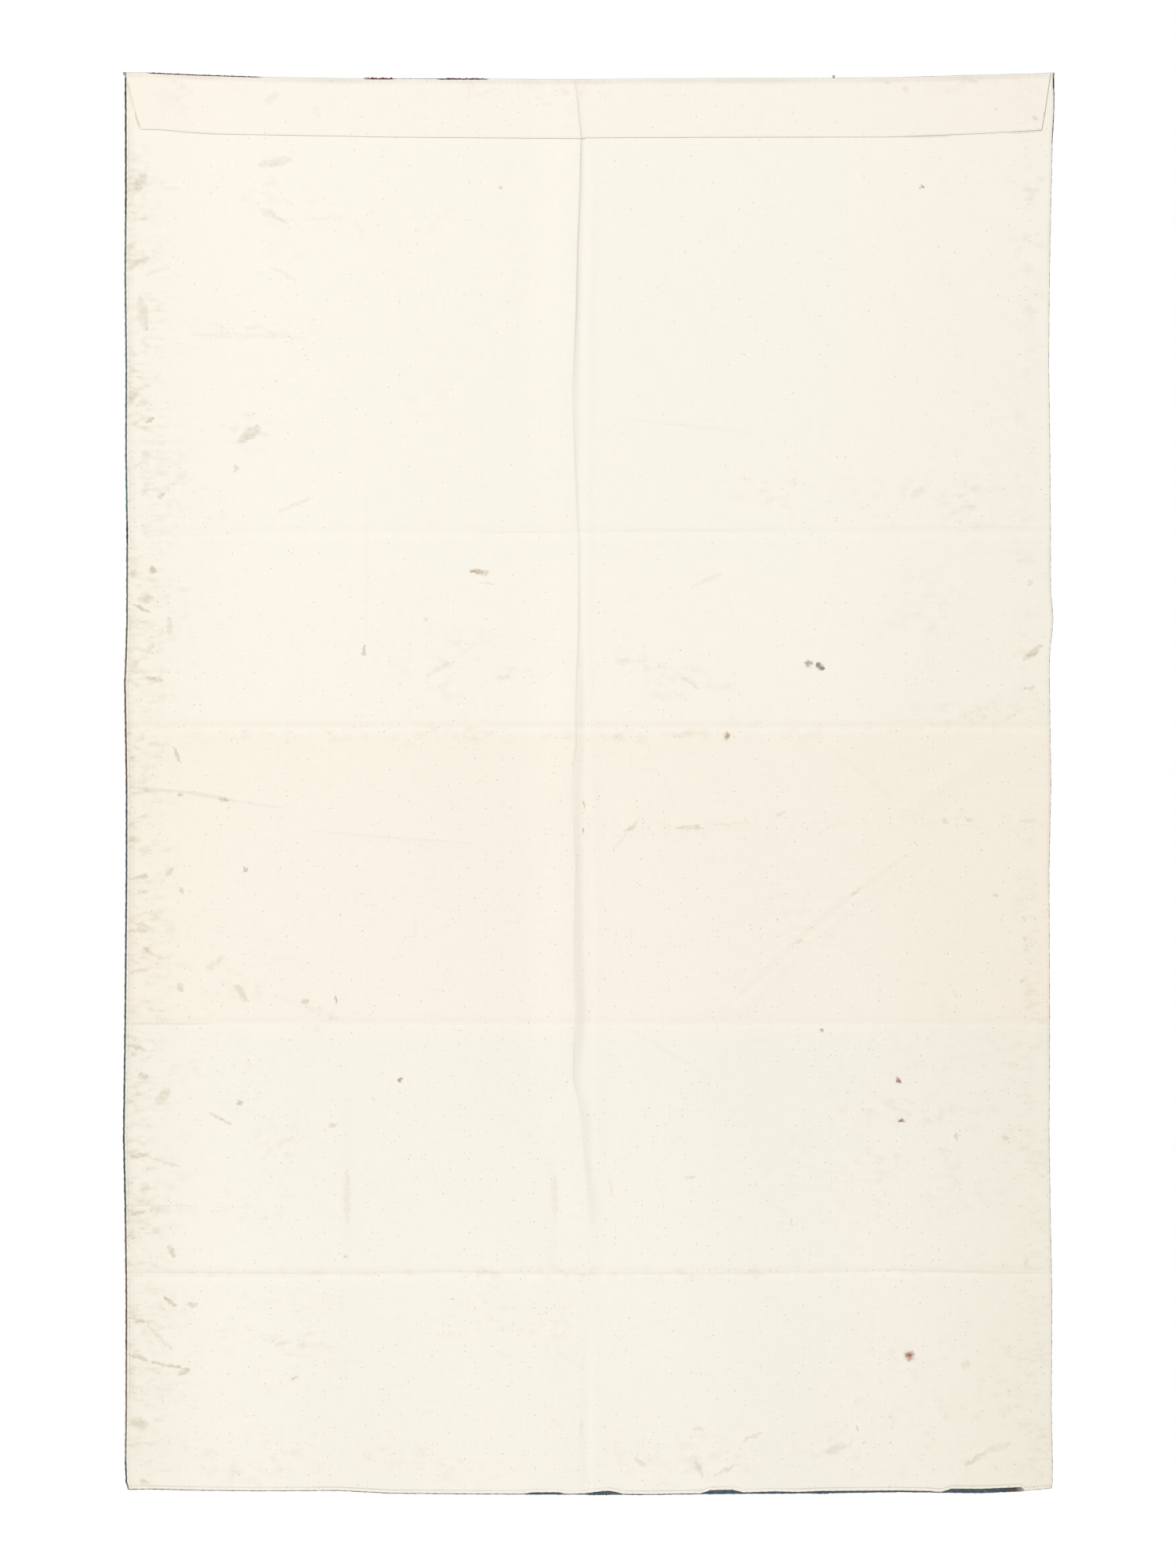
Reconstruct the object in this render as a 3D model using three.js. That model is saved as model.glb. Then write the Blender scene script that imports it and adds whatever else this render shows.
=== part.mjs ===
// A wall tapestry as it hangs, seen from its lined back: a woven wool panel, a cotton lining laid
// over the back of the panel, and a cotton heading band sewn flat along the top of the lining.
// Millimetres, +Z up. The lined back faces -Y and the woven front faces +Y. The origin is the
// middle of the panel's top edge, where the tapestry is held.

import * as THREE from "three";

// Driving dimensions
const HALF_WIDTH = 885;
const DROP = 2706;
const WEAVE_THICK = 2.5;
const COTTON_THICK = 1.2; // across the sheet's depth, so that a sloping fold is still over 1 mm
const LAYER_GAP = 0.35;
const LONGEST_CELL = 92; // the widest and tallest facet of the cloth

// The lining stops this far inside the panel's edge. Its foot is cut by ENDS.bare.
const LINING_INSET = { left: 3.2, right: 1.6, top: 1.6 };
const BAND_INSET_TOP = 2.4; // the band's top edge, below the lining's own

// The side edges, by the distance down from the top: how far each stands out past HALF_WIDTH.
const SIDES = [
  { down: -13, left: 1.5, right: 7.0 },
  { down: 60, left: 1.0, right: 7.0 },
  { down: 120, left: 0.9, right: 3.6 },
  { down: 224, left: 0.8, right: 1.2 },
  { down: 374, left: 1.8, right: -2.0 },
  { down: 549, left: 0.0, right: -3.3 },
  { down: 720, left: 0.4, right: -1.0 },
  { down: 870, left: -1.8, right: 0.0 },
  { down: 974, left: -1.6, right: 0.3 },
  { down: 1034, left: -1.5, right: 5.2 },
  { down: 1108, left: 0.6, right: -2.2 },
  { down: 1154, left: 2.7, right: -2.0 },
  { down: 1348, left: -0.5, right: 0.9 },
  { down: 1514, left: -0.3, right: -2.7 },
  { down: 1800, left: 2.2, right: -1.6 },
  { down: 2024, left: 5.0, right: -2.5 },
  { down: 2160, left: 2.0, right: -0.4 },
  { down: 2324, left: 0.0, right: 3.0 },
  { down: 2548, left: 0.3, right: 1.8 },
  { down: 2640, left: 1.5, right: 4.0 },
  { down: 2684, left: 0.0, right: 3.6 },
  { down: 2706, left: -7.0, right: 1.5 },
];

// The two ends, by the place across: how far the top edge rises above the origin, how far the foot
// hangs past DROP, and how much of the weave the lining leaves bare along the foot.
const ENDS = [
  { across: -885, rise: 12.8, sag: -7.0, bare: 2.0 },
  { across: -840, rise: 12.6, sag: -7.6, bare: 1.6 },
  { across: -750, rise: 8.6, sag: -5.4, bare: 1.6 },
  { across: -630, rise: 4.5, sag: -4.5, bare: 1.6 },
  { across: -480, rise: 1.6, sag: -5.4, bare: 1.6 },
  { across: -375, rise: 1.2, sag: 0.3, bare: 1.8 },
  { across: -225, rise: 1.2, sag: 1.5, bare: 2.4 },
  { across: -100, rise: 0.0, sag: 1.8, bare: 4.5 },
  { across: 10, rise: 0.0, sag: 1.8, bare: 7.0 },
  { across: 105, rise: 1.2, sag: 2.5, bare: 2.0 },
  { across: 255, rise: 1.8, sag: 0.6, bare: 8.0 },
  { across: 450, rise: 2.0, sag: 0.0, bare: 4.0 },
  { across: 600, rise: 3.8, sag: -2.2, bare: 3.0 },
  { across: 750, rise: 8.2, sag: -0.8, bare: 8.4 },
  { across: 825, rise: 10.0, sag: -4.0, bare: 8.0 },
  { across: 885, rise: 12.6, sag: -10.0, bare: 1.6 },
];

// The heading band: where its lower edge lies, by the place across, and where its slanting ends
// lie, by the distance down.
const BAND_FOOT = [
  { across: -854, down: 96.5 },
  { across: -720, down: 105.0 },
  { across: -375, down: 111.0 },
  { across: -17, down: 114.0 },
  { across: -9, down: 112.5 },
  { across: 225, down: 111.5 },
  { across: 575, down: 110.8 },
  { across: 735, down: 105.0 },
  { across: 867, down: 98.5 },
];
const BAND_ENDS = [
  { down: -12, left: -882.5, right: 884.5 },
  { down: 66, left: -864.5, right: 873.0 },
  { down: 98, left: -854.0, right: 867.0 },
];

// The tuck, where the slack of the lining and the band is laid over to one side in a soft fold
// down the middle. Each row gives where its lip runs and how high the lip stands off the panel.
const TUCK = [
  { down: -2, across: -27, high: 1.0 },
  { down: 43, across: -20, high: 2.4 },
  { down: 116, across: -14, high: 3.2 },
  { down: 208, across: -16, high: 3.2 },
  { down: 374, across: -21, high: 3.4 },
  { down: 568, across: -24, high: 3.4 },
  { down: 750, across: -23, high: 3.0 },
  { down: 944, across: -18, high: 1.8 },
  { down: 1124, across: -16, high: 2.6 },
  { down: 1348, across: -20, high: 3.6 },
  { down: 1500, across: -20, high: 3.6 },
  { down: 1694, across: -15, high: 3.6 },
  { down: 1860, across: -20, high: 3.4 },
  { down: 1911, across: -28, high: 3.4 },
  { down: 1948, across: -12, high: 3.2 },
  { down: 2098, across: -5, high: 2.4 },
  { down: 2188, across: 7, high: 1.0 },
  { down: 2310, across: 10, high: 0.0 },
];

// The tuck's section, from the gentle rise at its left to the foot of its steep drop at its right:
// the share of the lip's height at each place beside the lip.
const TUCK_SECTION = [
  { beside: -38, share: 0.0 },
  { beside: -24, share: 0.38 },
  { beside: -12, share: 0.8 },
  { beside: -4, share: 1.0 },
  { beside: 0, share: 0.84 },
  { beside: 4, share: 0.16 },
  { beside: 9, share: 0.0 },
];
// Between these places across the cloth its columns of facets follow the lip.
const TUCK_ZONE = { left: -80, right: 60 };

// Old folding lines across the whole cloth, pressed into it as shallow troughs.
const CREASES = [
  { down: 868, deep: 0.8 },
  { down: 1240, deep: 1.3 },
  { down: 1806, deep: 1.0 },
  { down: 2286, deep: 1.6 },
];
const CREASE_HALF = 16;

// The shallow upright waves in which the cloth hangs. They start below its straight top and grow
// down to the foot.
const WAVES = [
  { width: 1460, deep: 1.9, shift: 210, lean: 0.06 },
  { width: 720, deep: 1.5, shift: -130, lean: -0.1 },
  { width: 430, deep: 0.8, shift: 40, lean: 0.14 },
];
const STRAIGHT_TOP = 125;

// The value in one column of a table at a place between its rows.
function lookUp(table, key, at, column) {
  const after = table.findIndex((row) => row[key] >= at);
  if (after === 0) return table[0][column];
  if (after < 0) return table.at(-1)[column];
  const a = table[after - 1];
  const b = table[after];
  return THREE.MathUtils.mapLinear(at, a[key], b[key], a[column], b[column]);
}

// How far the whole cloth stands off the plane of its top edge, towards +Y.
function hang(x, z) {
  const grown = THREE.MathUtils.smoothstep(-z, STRAIGHT_TOP, DROP);
  const waves = WAVES.reduce(
    (sum, w) => sum + w.deep * Math.sin((2 * Math.PI * (x - w.shift + w.lean * z)) / w.width),
    0,
  );
  const creases = CREASES.reduce(
    (sum, c) => sum + c.deep * Math.max(0, 1 - Math.abs(-z - c.down) / CREASE_HALF),
    0,
  );
  return grown * waves + creases;
}

const lipAcross = (z) => lookUp(TUCK, "down", -z, "across");

// How high the tuck lifts the cotton off the panel.
function tuck(x, z) {
  const share = lookUp(TUCK_SECTION, "beside", x - lipAcross(z), "share");
  return lookUp(TUCK, "down", -z, "high") * share;
}

// Fills a sorted list of places until no two are further apart than the longest cell.
function filled(places) {
  return places.flatMap((place, i) => {
    if (i === 0) return [place];
    const before = places[i - 1];
    const cells = Math.ceil((place - before) / LONGEST_CELL);
    return Array.from({ length: cells }, (_, k) => before + ((place - before) * (k + 1)) / cells);
  });
}

// The inner columns of facets, shared by every sheet so that the layers nest: fixed ones at the
// sides and, in the middle, ones that follow the lip of the tuck.
const SIDE_MARGIN = 800; // the outermost inner columns
const LEFT_COLUMNS = filled([-SIDE_MARGIN, TUCK_ZONE.left]).map((x) => () => x);
const RIGHT_COLUMNS = filled([TUCK_ZONE.right, SIDE_MARGIN]).map((x) => () => x);
const TUCK_COLUMNS = TUCK_SECTION.map(({ beside }) => (z) => lipAcross(z) + beside);
const COLUMNS = [...LEFT_COLUMNS, ...TUCK_COLUMNS, ...RIGHT_COLUMNS];

// The inner rows of facets down the cloth: one at each row of the tuck, three at each crease. The
// heading band shares the rows above its lower edge.
const FIRST_ROW = 22;
const LAST_ROW = 2650;
const BAND_LAST_ROW = 80;
const ROWS = filled(
  [
    FIRST_ROW,
    BAND_LAST_ROW,
    ...TUCK.map(({ down }) => down).filter((down) => down > FIRST_ROW),
    ...CREASES.flatMap(({ down }) => [down - CREASE_HALF, down, down + CREASE_HALF]),
    LAST_ROW,
  ].sort((a, b) => a - b),
).map((down) => -down);
const BAND_ROWS = ROWS.filter((z) => z >= -BAND_LAST_ROW);

// A closed sheet of cloth. left, right, top and foot give its edges; back and front give how far
// its two faces stand towards +Y from the plane of the top edge.
function sheet({ left, right, top, foot, rows, back, front }) {
  const across = [left, ...COLUMNS, right];
  const down = [top, ...rows.map((z) => () => z), foot];
  const wide = across.length;
  const layer = wide * down.length;
  const points = [back, front].flatMap((face) =>
    down.flatMap((rowAt) =>
      across.flatMap((columnAt) => {
        const z = rowAt(columnAt(rowAt(0)));
        const x = columnAt(z);
        return [x, face(x, z), z];
      }),
    ),
  );
  const faces = [];
  const quad = (a, b, c, d) => faces.push(a, b, c, a, c, d);
  for (let r = 0; r < down.length - 1; r++) {
    for (let c = 0; c < wide - 1; c++) {
      const a = r * wide + c;
      const below = a + wide;
      quad(a, below, below + 1, a + 1);
      quad(layer + a, layer + a + 1, layer + below + 1, layer + below);
    }
  }
  const lastRow = layer - wide;
  for (let c = 0; c < wide - 1; c++) {
    quad(c, c + 1, layer + c + 1, layer + c);
    quad(lastRow + c + 1, lastRow + c, layer + lastRow + c, layer + lastRow + c + 1);
  }
  for (let r = 0; r < down.length - 1; r++) {
    const start = r * wide;
    const end = start + wide - 1;
    quad(start + wide, start, layer + start, layer + start + wide);
    quad(end, end + wide, layer + end + wide, layer + end);
  }
  const geometry = new THREE.BufferGeometry();
  geometry.setAttribute("position", new THREE.Float32BufferAttribute(points, 3));
  geometry.setIndex(faces);
  geometry.computeVertexNormals();
  return geometry;
}

const sideOut = (z, side) => HALF_WIDTH + lookUp(SIDES, "down", -z, side);
const topOf = (x) => lookUp(ENDS, "across", x, "rise");
const footOf = (x) => -DROP - lookUp(ENDS, "across", x, "sag");

// The woven wool panel, out to the tapestry's outline.
function wovenPanel() {
  return sheet({
    left: (z) => -sideOut(z, "left"),
    right: (z) => sideOut(z, "right"),
    top: topOf,
    foot: footOf,
    rows: ROWS,
    back: (x, z) => hang(x, z) - WEAVE_THICK / 2,
    front: (x, z) => hang(x, z) + WEAVE_THICK / 2,
  });
}

// The cotton lining over the panel's back, cut a little smaller than the panel.
const LINING_FRONT = WEAVE_THICK / 2 + LAYER_GAP;
const LINING_BACK = LINING_FRONT + COTTON_THICK;

function lining() {
  return sheet({
    left: (z) => -sideOut(z, "left") + LINING_INSET.left,
    right: (z) => sideOut(z, "right") - LINING_INSET.right,
    top: (x) => topOf(x) - LINING_INSET.top,
    foot: (x) => footOf(x) + lookUp(ENDS, "across", x, "bare"),
    rows: ROWS,
    back: (x, z) => hang(x, z) - tuck(x, z) - LINING_BACK,
    front: (x, z) => hang(x, z) - tuck(x, z) - LINING_FRONT,
  });
}

// The cotton heading band, sewn flat over the lining's top, with slanting ends.
const BAND_FRONT = LINING_BACK + LAYER_GAP;
const BAND_BACK = BAND_FRONT + COTTON_THICK;

function headingBand() {
  return sheet({
    left: (z) => lookUp(BAND_ENDS, "down", -z, "left"),
    right: (z) => lookUp(BAND_ENDS, "down", -z, "right"),
    top: (x) => topOf(x) - BAND_INSET_TOP,
    foot: (x) => -lookUp(BAND_FOOT, "across", x, "down"),
    rows: BAND_ROWS,
    back: (x, z) => hang(x, z) - tuck(x, z) - BAND_BACK,
    front: (x, z) => hang(x, z) - tuck(x, z) - BAND_FRONT,
  });
}

const cloth = (color) => new THREE.MeshStandardMaterial({ color, roughness: 0.9, metalness: 0 });
const WOOL = cloth(0x3f5566);
const LINING_COTTON = cloth(0xf4f0e0);
const BAND_COTTON = cloth(0xf6eee0);

function piece(name, geometry, material) {
  const mesh = new THREE.Mesh(geometry, material);
  mesh.name = name;
  return mesh;
}

const tapestry = new THREE.Group();
tapestry.add(piece("woven_panel", wovenPanel(), WOOL));
tapestry.add(piece("lining", lining(), LINING_COTTON));
tapestry.add(piece("heading_band", headingBand(), BAND_COTTON));

export default tapestry;
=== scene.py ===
"""A wall tapestry as it hangs, seen from its lined back.

Shapes are worked out in millimetres, by the place across and the distance down from the top, and
MM turns them into the frame's metres. The lined back faces -Y and the woven front +Y. Marks on the
cloth are placed by their pixel in the photograph, taken as 1500 wide and 2000 high.
"""
import math

import bpy
import numpy as np
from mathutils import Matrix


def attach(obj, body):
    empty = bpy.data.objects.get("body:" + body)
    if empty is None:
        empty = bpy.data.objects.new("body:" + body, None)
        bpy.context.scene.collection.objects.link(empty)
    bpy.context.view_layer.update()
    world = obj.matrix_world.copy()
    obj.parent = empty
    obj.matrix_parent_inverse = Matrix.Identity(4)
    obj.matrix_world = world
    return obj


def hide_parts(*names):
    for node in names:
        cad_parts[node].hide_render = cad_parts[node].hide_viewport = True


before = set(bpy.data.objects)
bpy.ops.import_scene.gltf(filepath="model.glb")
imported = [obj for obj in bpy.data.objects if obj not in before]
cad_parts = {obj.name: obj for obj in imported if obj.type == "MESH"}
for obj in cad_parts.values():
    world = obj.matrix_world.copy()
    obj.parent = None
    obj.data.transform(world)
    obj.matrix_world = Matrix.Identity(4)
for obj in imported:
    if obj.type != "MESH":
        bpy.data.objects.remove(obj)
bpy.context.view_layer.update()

# The woven panel
# One wool tapestry cloth, ribbed across, 2.5 mm thick. It hangs face to the wall, so only its rim
# shows past the lining. Its front is finished in plain bands of the colours of that rim.

MM = 0.001
HALF_WIDTH = 885.0
DROP = 2706.0
WOOL_THICK = 2.5


def table(names, *rows):
    """Rows of numbers under their column names."""
    return dict(zip(names.split(), np.array(rows, float).T))


def rows_of(columns):
    """A table's rows, one after the other."""
    return zip(*columns.values())


def read(rows, at, column):
    """The value in one column of a table, at places given as its first column gives them."""
    first = next(iter(rows))
    return np.interp(at, rows[first], rows[column])


def smooth(start, end, value):
    """Rises from 0 at start to 1 at end, evenly at both."""
    t = np.clip((value - start) / (end - start), 0, 1)
    return t * t * (3 - 2 * t)


# How far each side edge stands out past HALF_WIDTH, by the distance down.
SIDES = table(
    "down left right",
    (-13, 1.5, 7.0),
    (60, 1.0, 7.0),
    (120, 0.9, 3.6),
    (224, 0.8, 1.2),
    (374, 1.8, -2.0),
    (549, 0.0, -3.3),
    (720, 0.4, -1.0),
    (870, -1.8, 0.0),
    (974, -1.6, 0.3),
    (1034, -1.5, 5.2),
    (1108, 0.6, -2.2),
    (1154, 2.7, -2.0),
    (1348, -0.5, 0.9),
    (1514, -0.3, -2.7),
    (1800, 2.2, -1.6),
    (2024, 5.0, -2.5),
    (2160, 2.0, -0.4),
    (2324, 0.0, 3.0),
    (2548, 0.3, 1.8),
    (2640, 1.5, 4.0),
    (2684, 0.0, 3.6),
    (2706, -7.0, 1.5),
)
# How far the top edge rises above the origin and the foot hangs past DROP, by the place across.
ENDS = table(
    "across rise sag",
    (-885, 12.8, -7.0),
    (-840, 12.6, -7.6),
    (-750, 8.6, -5.4),
    (-630, 4.5, -4.5),
    (-480, 1.6, -5.4),
    (-375, 1.2, 0.3),
    (-225, 1.2, 1.5),
    (-100, 0.0, 1.8),
    (10, 0.0, 1.8),
    (105, 1.2, 2.5),
    (255, 1.8, 0.6),
    (450, 2.0, 0.0),
    (600, 3.8, -2.2),
    (750, 8.2, -0.8),
    (825, 10.0, -4.0),
    (885, 12.6, -10.0),
)
# Old folding lines across the whole cloth, pressed into it as shallow troughs.
CREASES = table(
    "down deep lean",
    (868, 0.6, 0.0),
    (1240, 1.3, 0.0),
    (1806, 1.0, 0.0),
    (2284, 1.6, -0.004),
)
CREASE_HALF = 14.0
# The shallow upright waves in which the cloth hangs.
WAVES = table("width deep shift lean", (1460, 1.9, 210, 0.06), (720, 1.5, -130, -0.1), (430, 0.8, 40, 0.14))
STRAIGHT_TOP = 125.0  # the waves start this far down


def hang(x, down):
    """How far the whole cloth stands off the plane of its top edge, towards +Y."""
    waves = sum(
        deep * np.sin(2 * np.pi * (x - shift - lean * down) / width)
        for width, deep, shift, lean in rows_of(WAVES)
    )
    creases = sum(
        deep * (1 - smooth(0, CREASE_HALF, np.abs(down - at - lean * x)))
        for at, deep, lean in rows_of(CREASES)
    )
    return smooth(STRAIGHT_TOP, DROP, down) * waves + creases


def filled(places, longest):
    """Sorted places with more between them, until no two are further apart than longest."""
    places = sorted({round(float(place), 3) for place in places})
    out = places[:1]
    for a, b in zip(places, places[1:]):
        cells = math.ceil((b - a) / longest)
        out += [a + (b - a) * k / cells for k in range(1, cells + 1)]
    return np.array(out)


RIM_STEPS = np.array([0, 1.6, 3.4, 4.6, 5.8, 8.5, 13, 20, 32, 46.0])
CREASE_STEPS = np.array([-26, -18, -12, -8, -5, -2.5, 0, 2.5, 5, 8, 12, 18, 26.0])
ROWS = filled(
    [*RIM_STEPS, *(DROP - RIM_STEPS), *(CREASES["down"][:, None] + CREASE_STEPS).ravel()],
    longest=11.5,
)
PANEL_COLUMNS = filled([*(RIM_STEPS - HALF_WIDTH), *(HALF_WIDTH - RIM_STEPS)], longest=24)
RIM_HOLD = 20.0  # this much of the rim follows an edge exactly
RIM_FADE = 130.0  # from here inwards the cloth doesn't follow it


def near(distance):
    """1 along an edge and 0 well inside it."""
    return 1 - smooth(RIM_HOLD, RIM_FADE, distance)


SMOOTH_UNDER = math.radians(50)  # a cloth is shaded smooth where its faces meet at less than this


def hang_cloth(name, columns, rows, place, face, thick, rim_cuts, marks):
    """A sheet of cloth. A flat grid with a vertex for each column and row has its rim cut finer and
    is then hung: place gives where a vertex goes across and down, face how far the sheet's front
    stands towards +Y, and marks the named values that its material reads. It is then extruded."""
    bpy.ops.object.select_all(action="DESELECT")
    bpy.ops.mesh.primitive_grid_add(
        x_subdivisions=len(columns) - 1, y_subdivisions=len(rows) - 1, size=2
    )
    piece = bpy.context.object
    piece.name = piece.data.name = name
    bpy.ops.object.mode_set(mode="EDIT")
    bpy.ops.mesh.select_all(action="SELECT")
    bpy.ops.mesh.region_to_loop()
    bpy.ops.mesh.subdivide(number_cuts=rim_cuts, ngon=True)
    bpy.ops.object.mode_set(mode="OBJECT")
    mesh = piece.data
    flat = np.empty(3 * len(mesh.vertices))
    mesh.vertices.foreach_get("co", flat)
    flat = flat.reshape(-1, 3)
    column = (flat[:, 0] + 1) / 2 * (len(columns) - 1)
    row = (1 - flat[:, 1]) / 2 * (len(rows) - 1)
    across = np.interp(column, np.arange(len(columns)), columns)
    down = np.interp(row, np.arange(len(rows)), rows)
    for key, values in marks(across, down).items():
        kind, field = ("FLOAT", "value") if values.ndim == 1 else ("FLOAT_COLOR", "color")
        mesh.attributes.new(key, kind, "POINT").data.foreach_set(field, values.ravel())
    x, down = place(across, down)
    hung = np.stack([x, face(x, down), -down], axis=1) * MM
    mesh.vertices.foreach_set("co", hung.ravel())
    mesh.update()
    bpy.ops.object.mode_set(mode="EDIT")
    bpy.ops.mesh.select_all(action="SELECT")
    bpy.ops.mesh.extrude_region_move(TRANSFORM_OT_translate={"value": (0, -thick * MM, 0)})
    bpy.ops.object.mode_set(mode="OBJECT")
    bpy.ops.object.shade_smooth_by_angle(angle=SMOOTH_UNDER)
    return piece


def linear(screen):
    """What a screen shows, 0 to 255, in Blender's linear values."""
    return ((screen / 255 + 0.055) / 1.055) ** 2.4


def display(red, green, blue):
    """A colour as shown on a screen."""
    return *(linear(v) for v in (red, green, blue)), 1.0


# The bands of the woven front: how far down each starts, and its colour on a screen.
WOOL_BANDS = (
    (0, (62, 52, 46)),
    (258, (92, 110, 110)),
    (838, (42, 40, 40)),
    (884, (112, 104, 90)),
    (1154, (96, 82, 60)),
    (1348, (70, 82, 94)),
    (1934, (58, 72, 76)),
    (2158, (104, 90, 78)),
    (2428, (132, 120, 112)),
    (2640, (66, 84, 96)),
)
# The rim's colours along the top and the foot, on a screen, by the place across.
TOP_RIM = table(
    "across red green blue",
    (-846, 168, 160, 150),
    (-838, 92, 44, 44),
    (-632, 74, 38, 38),
    (-622, 176, 168, 158),
    (-432, 176, 168, 158),
    (-426, 104, 40, 46),
    (-378, 104, 40, 46),
    (-370, 128, 118, 112),
    (-292, 128, 110, 108),
    (-284, 70, 34, 38),
    (-196, 62, 30, 34),
    (-192, 178, 172, 162),
    (626, 178, 172, 162),
    (632, 140, 100, 98),
    (660, 140, 100, 98),
    (668, 160, 148, 138),
)
FOOT_RIM = table(
    "across red green blue",
    (-885, 150, 140, 130),
    (-486, 138, 120, 112),
    (-476, 66, 84, 96),
    (790, 66, 84, 96),
    (798, 72, 62, 58),
    (829, 66, 54, 48),
    (833, 200, 194, 180),
)
GUARD = 9.0  # how wide the rim's own colours are along the top and the foot


def rim_colours(rows, across):
    """The rim's colour at each place across, in linear values, with the mask that shows it."""
    screen = np.stack([read(rows, across, c) for c in ("red", "green", "blue")], axis=1)
    return np.concatenate([linear(screen), np.ones((len(across), 1))], axis=1)


def wool_marks(across, down):
    """The rim's own colours along the top and the foot, which the wool's material reads."""
    dye = np.zeros((len(across), 4))
    top = down <= GUARD
    foot = DROP - down <= GUARD
    dye[top] = rim_colours(TOP_RIM, across[top])
    dye[foot] = rim_colours(FOOT_RIM, across[foot])
    return {"dye": dye}


# How far in and out each cut edge of the wool goes.
RAGGED = {"top": 0.4, "foot": 0.5, "left": 0.6, "right": 0.4}


def uneven(run, size):
    """A small ragged run of an edge, the same each time."""
    return size * (np.sin(run / 1.9) + np.sin(run / 3.1 + 1) + np.sin(run / 7.7 + 2)) / 3


def place_panel(across, down):
    """Where each point of the flat panel hangs: its place across and its distance down."""
    from_left, from_right = across + HALF_WIDTH, HALF_WIDTH - across
    from_foot = DROP - down
    rise = read(ENDS, across, "rise") + (down == 0) * uneven(across, RAGGED["top"])
    sag = read(ENDS, across, "sag") + (from_foot == 0) * uneven(across, RAGGED["foot"])
    z_down = down - near(down) * rise + near(from_foot) * sag
    left = read(SIDES, z_down, "left") + (from_left == 0) * uneven(down, RAGGED["left"])
    right = read(SIDES, z_down, "right") + (from_right == 0) * uneven(down, RAGGED["right"])
    x = across - near(from_left) * left + near(from_right) * right
    return x, z_down


tapestry_weave = hang_cloth(
    "tapestry_weave",
    PANEL_COLUMNS,
    ROWS,
    place=place_panel,
    face=lambda x, down: hang(x, down) + WOOL_THICK / 2,
    thick=WOOL_THICK,
    rim_cuts=4,
    marks=wool_marks,
)


def add(tree, kind, inputs=None, **settings):
    """A new node. An input, by its name or number, takes a value or another node's output."""
    node = tree.nodes.new(kind)
    for name, value in settings.items():
        setattr(node, name, value)
    for socket, value in (inputs or {}).items():
        if isinstance(value, bpy.types.NodeSocket):
            tree.links.new(value, node.inputs[socket])
        else:
            node.inputs[socket].default_value = value
    return node


def maths(tree, operation, a, b=0.0):
    return add(tree, "ShaderNodeMath", {0: a, 1: b}, operation=operation).outputs[0]


def times(tree, a, b):
    return maths(tree, "MULTIPLY", a, b)


def plus(tree, a, b):
    return maths(tree, "ADD", a, b)


def ramp_up(tree, value, start, end, low=0.0, high=1.0):
    """Turns a value that goes from start to end into one that goes smoothly from low to high."""
    inputs = {"Value": value, "From Min": start, "From Max": end, "To Min": low, "To Max": high}
    return add(tree, "ShaderNodeMapRange", inputs, interpolation_type="SMOOTHSTEP", clamp=False).outputs[0]


def lay_over(tree, factor, under, over, blend="MIX"):
    """One colour laid over another by a mask."""
    inputs = {0: factor, 6: under, 7: over}
    return add(tree, "ShaderNodeMix", inputs, data_type="RGBA", blend_type=blend).outputs[2]


def vector_maths(tree, operation, a, b):
    return add(tree, "ShaderNodeVectorMath", {0: a, 1: b}, operation=operation).outputs[0]


def stretch(tree, vector, x, y, z):
    """Coordinates stretched along each axis."""
    return vector_maths(tree, "MULTIPLY", vector, (x, y, z))


def noise(tree, coordinates, to_the_metre, detail=2.0, output=0):
    """Soft noise, with how many of its lumps go to the metre along each axis."""
    inputs = {"Vector": stretch(tree, coordinates, *to_the_metre), "Scale": 1.0, "Detail": detail}
    return add(tree, "ShaderNodeTexNoise", inputs).outputs[output]


def attribute(tree, name, output="Fac"):
    return add(tree, "ShaderNodeAttribute", attribute_name=name).outputs[output]


def down_share(tree, coordinates):
    """How far down the cloth a point lies, from 0 at the top to 1 at the foot."""
    height = add(tree, "ShaderNodeSeparateXYZ", {0: coordinates}).outputs[2]
    return times(tree, height, -1 / (DROP * MM))


def tones(tree, share, stops, interpolation="LINEAR"):
    """The colour at each share of a run, from where each colour lies and how it shows on a screen."""
    node = add(tree, "ShaderNodeValToRGB", {0: share})
    ramp = node.color_ramp
    ramp.interpolation = interpolation
    for k, (at, screen) in enumerate(stops):
        stop = ramp.elements.new(at) if k else ramp.elements[0]
        stop.color = display(*screen)
    ramp.elements.remove(ramp.elements[-1])
    return node.outputs[0]


def new_group(name, inputs, outputs):
    """A shader node group, with the outputs of its entry and the inputs of its end."""
    group = bpy.data.node_groups.new(name, "ShaderNodeTree")
    for ends, way in ((inputs, "INPUT"), (outputs, "OUTPUT")):
        for socket, kind in ends.items():
            group.interface.new_socket(socket, in_out=way, socket_type="NodeSocket" + kind)
    entry = group.nodes.new("NodeGroupInput").outputs
    end = group.nodes.new("NodeGroupOutput").inputs
    return group, entry, end


def placed(tree, group, inputs):
    """The outputs of a node group placed in a material."""
    return add(tree, "ShaderNodeGroup", inputs, node_tree=group).outputs


def new_material(name, roughness, sheen=0.0):
    """A cloth material with its node tree, its shader and the piece's own coordinates."""
    material = bpy.data.materials.new(name)
    material.use_nodes = True
    tree = material.node_tree
    shader = tree.nodes["Principled BSDF"]
    shader.inputs["Roughness"].default_value = roughness
    shader.inputs["Specular IOR Level"].default_value = 0.2
    shader.inputs["Sheen Weight"].default_value = sheen
    coordinates = add(tree, "ShaderNodeTexCoord").outputs["Object"]
    return material, tree, shader, coordinates


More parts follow.
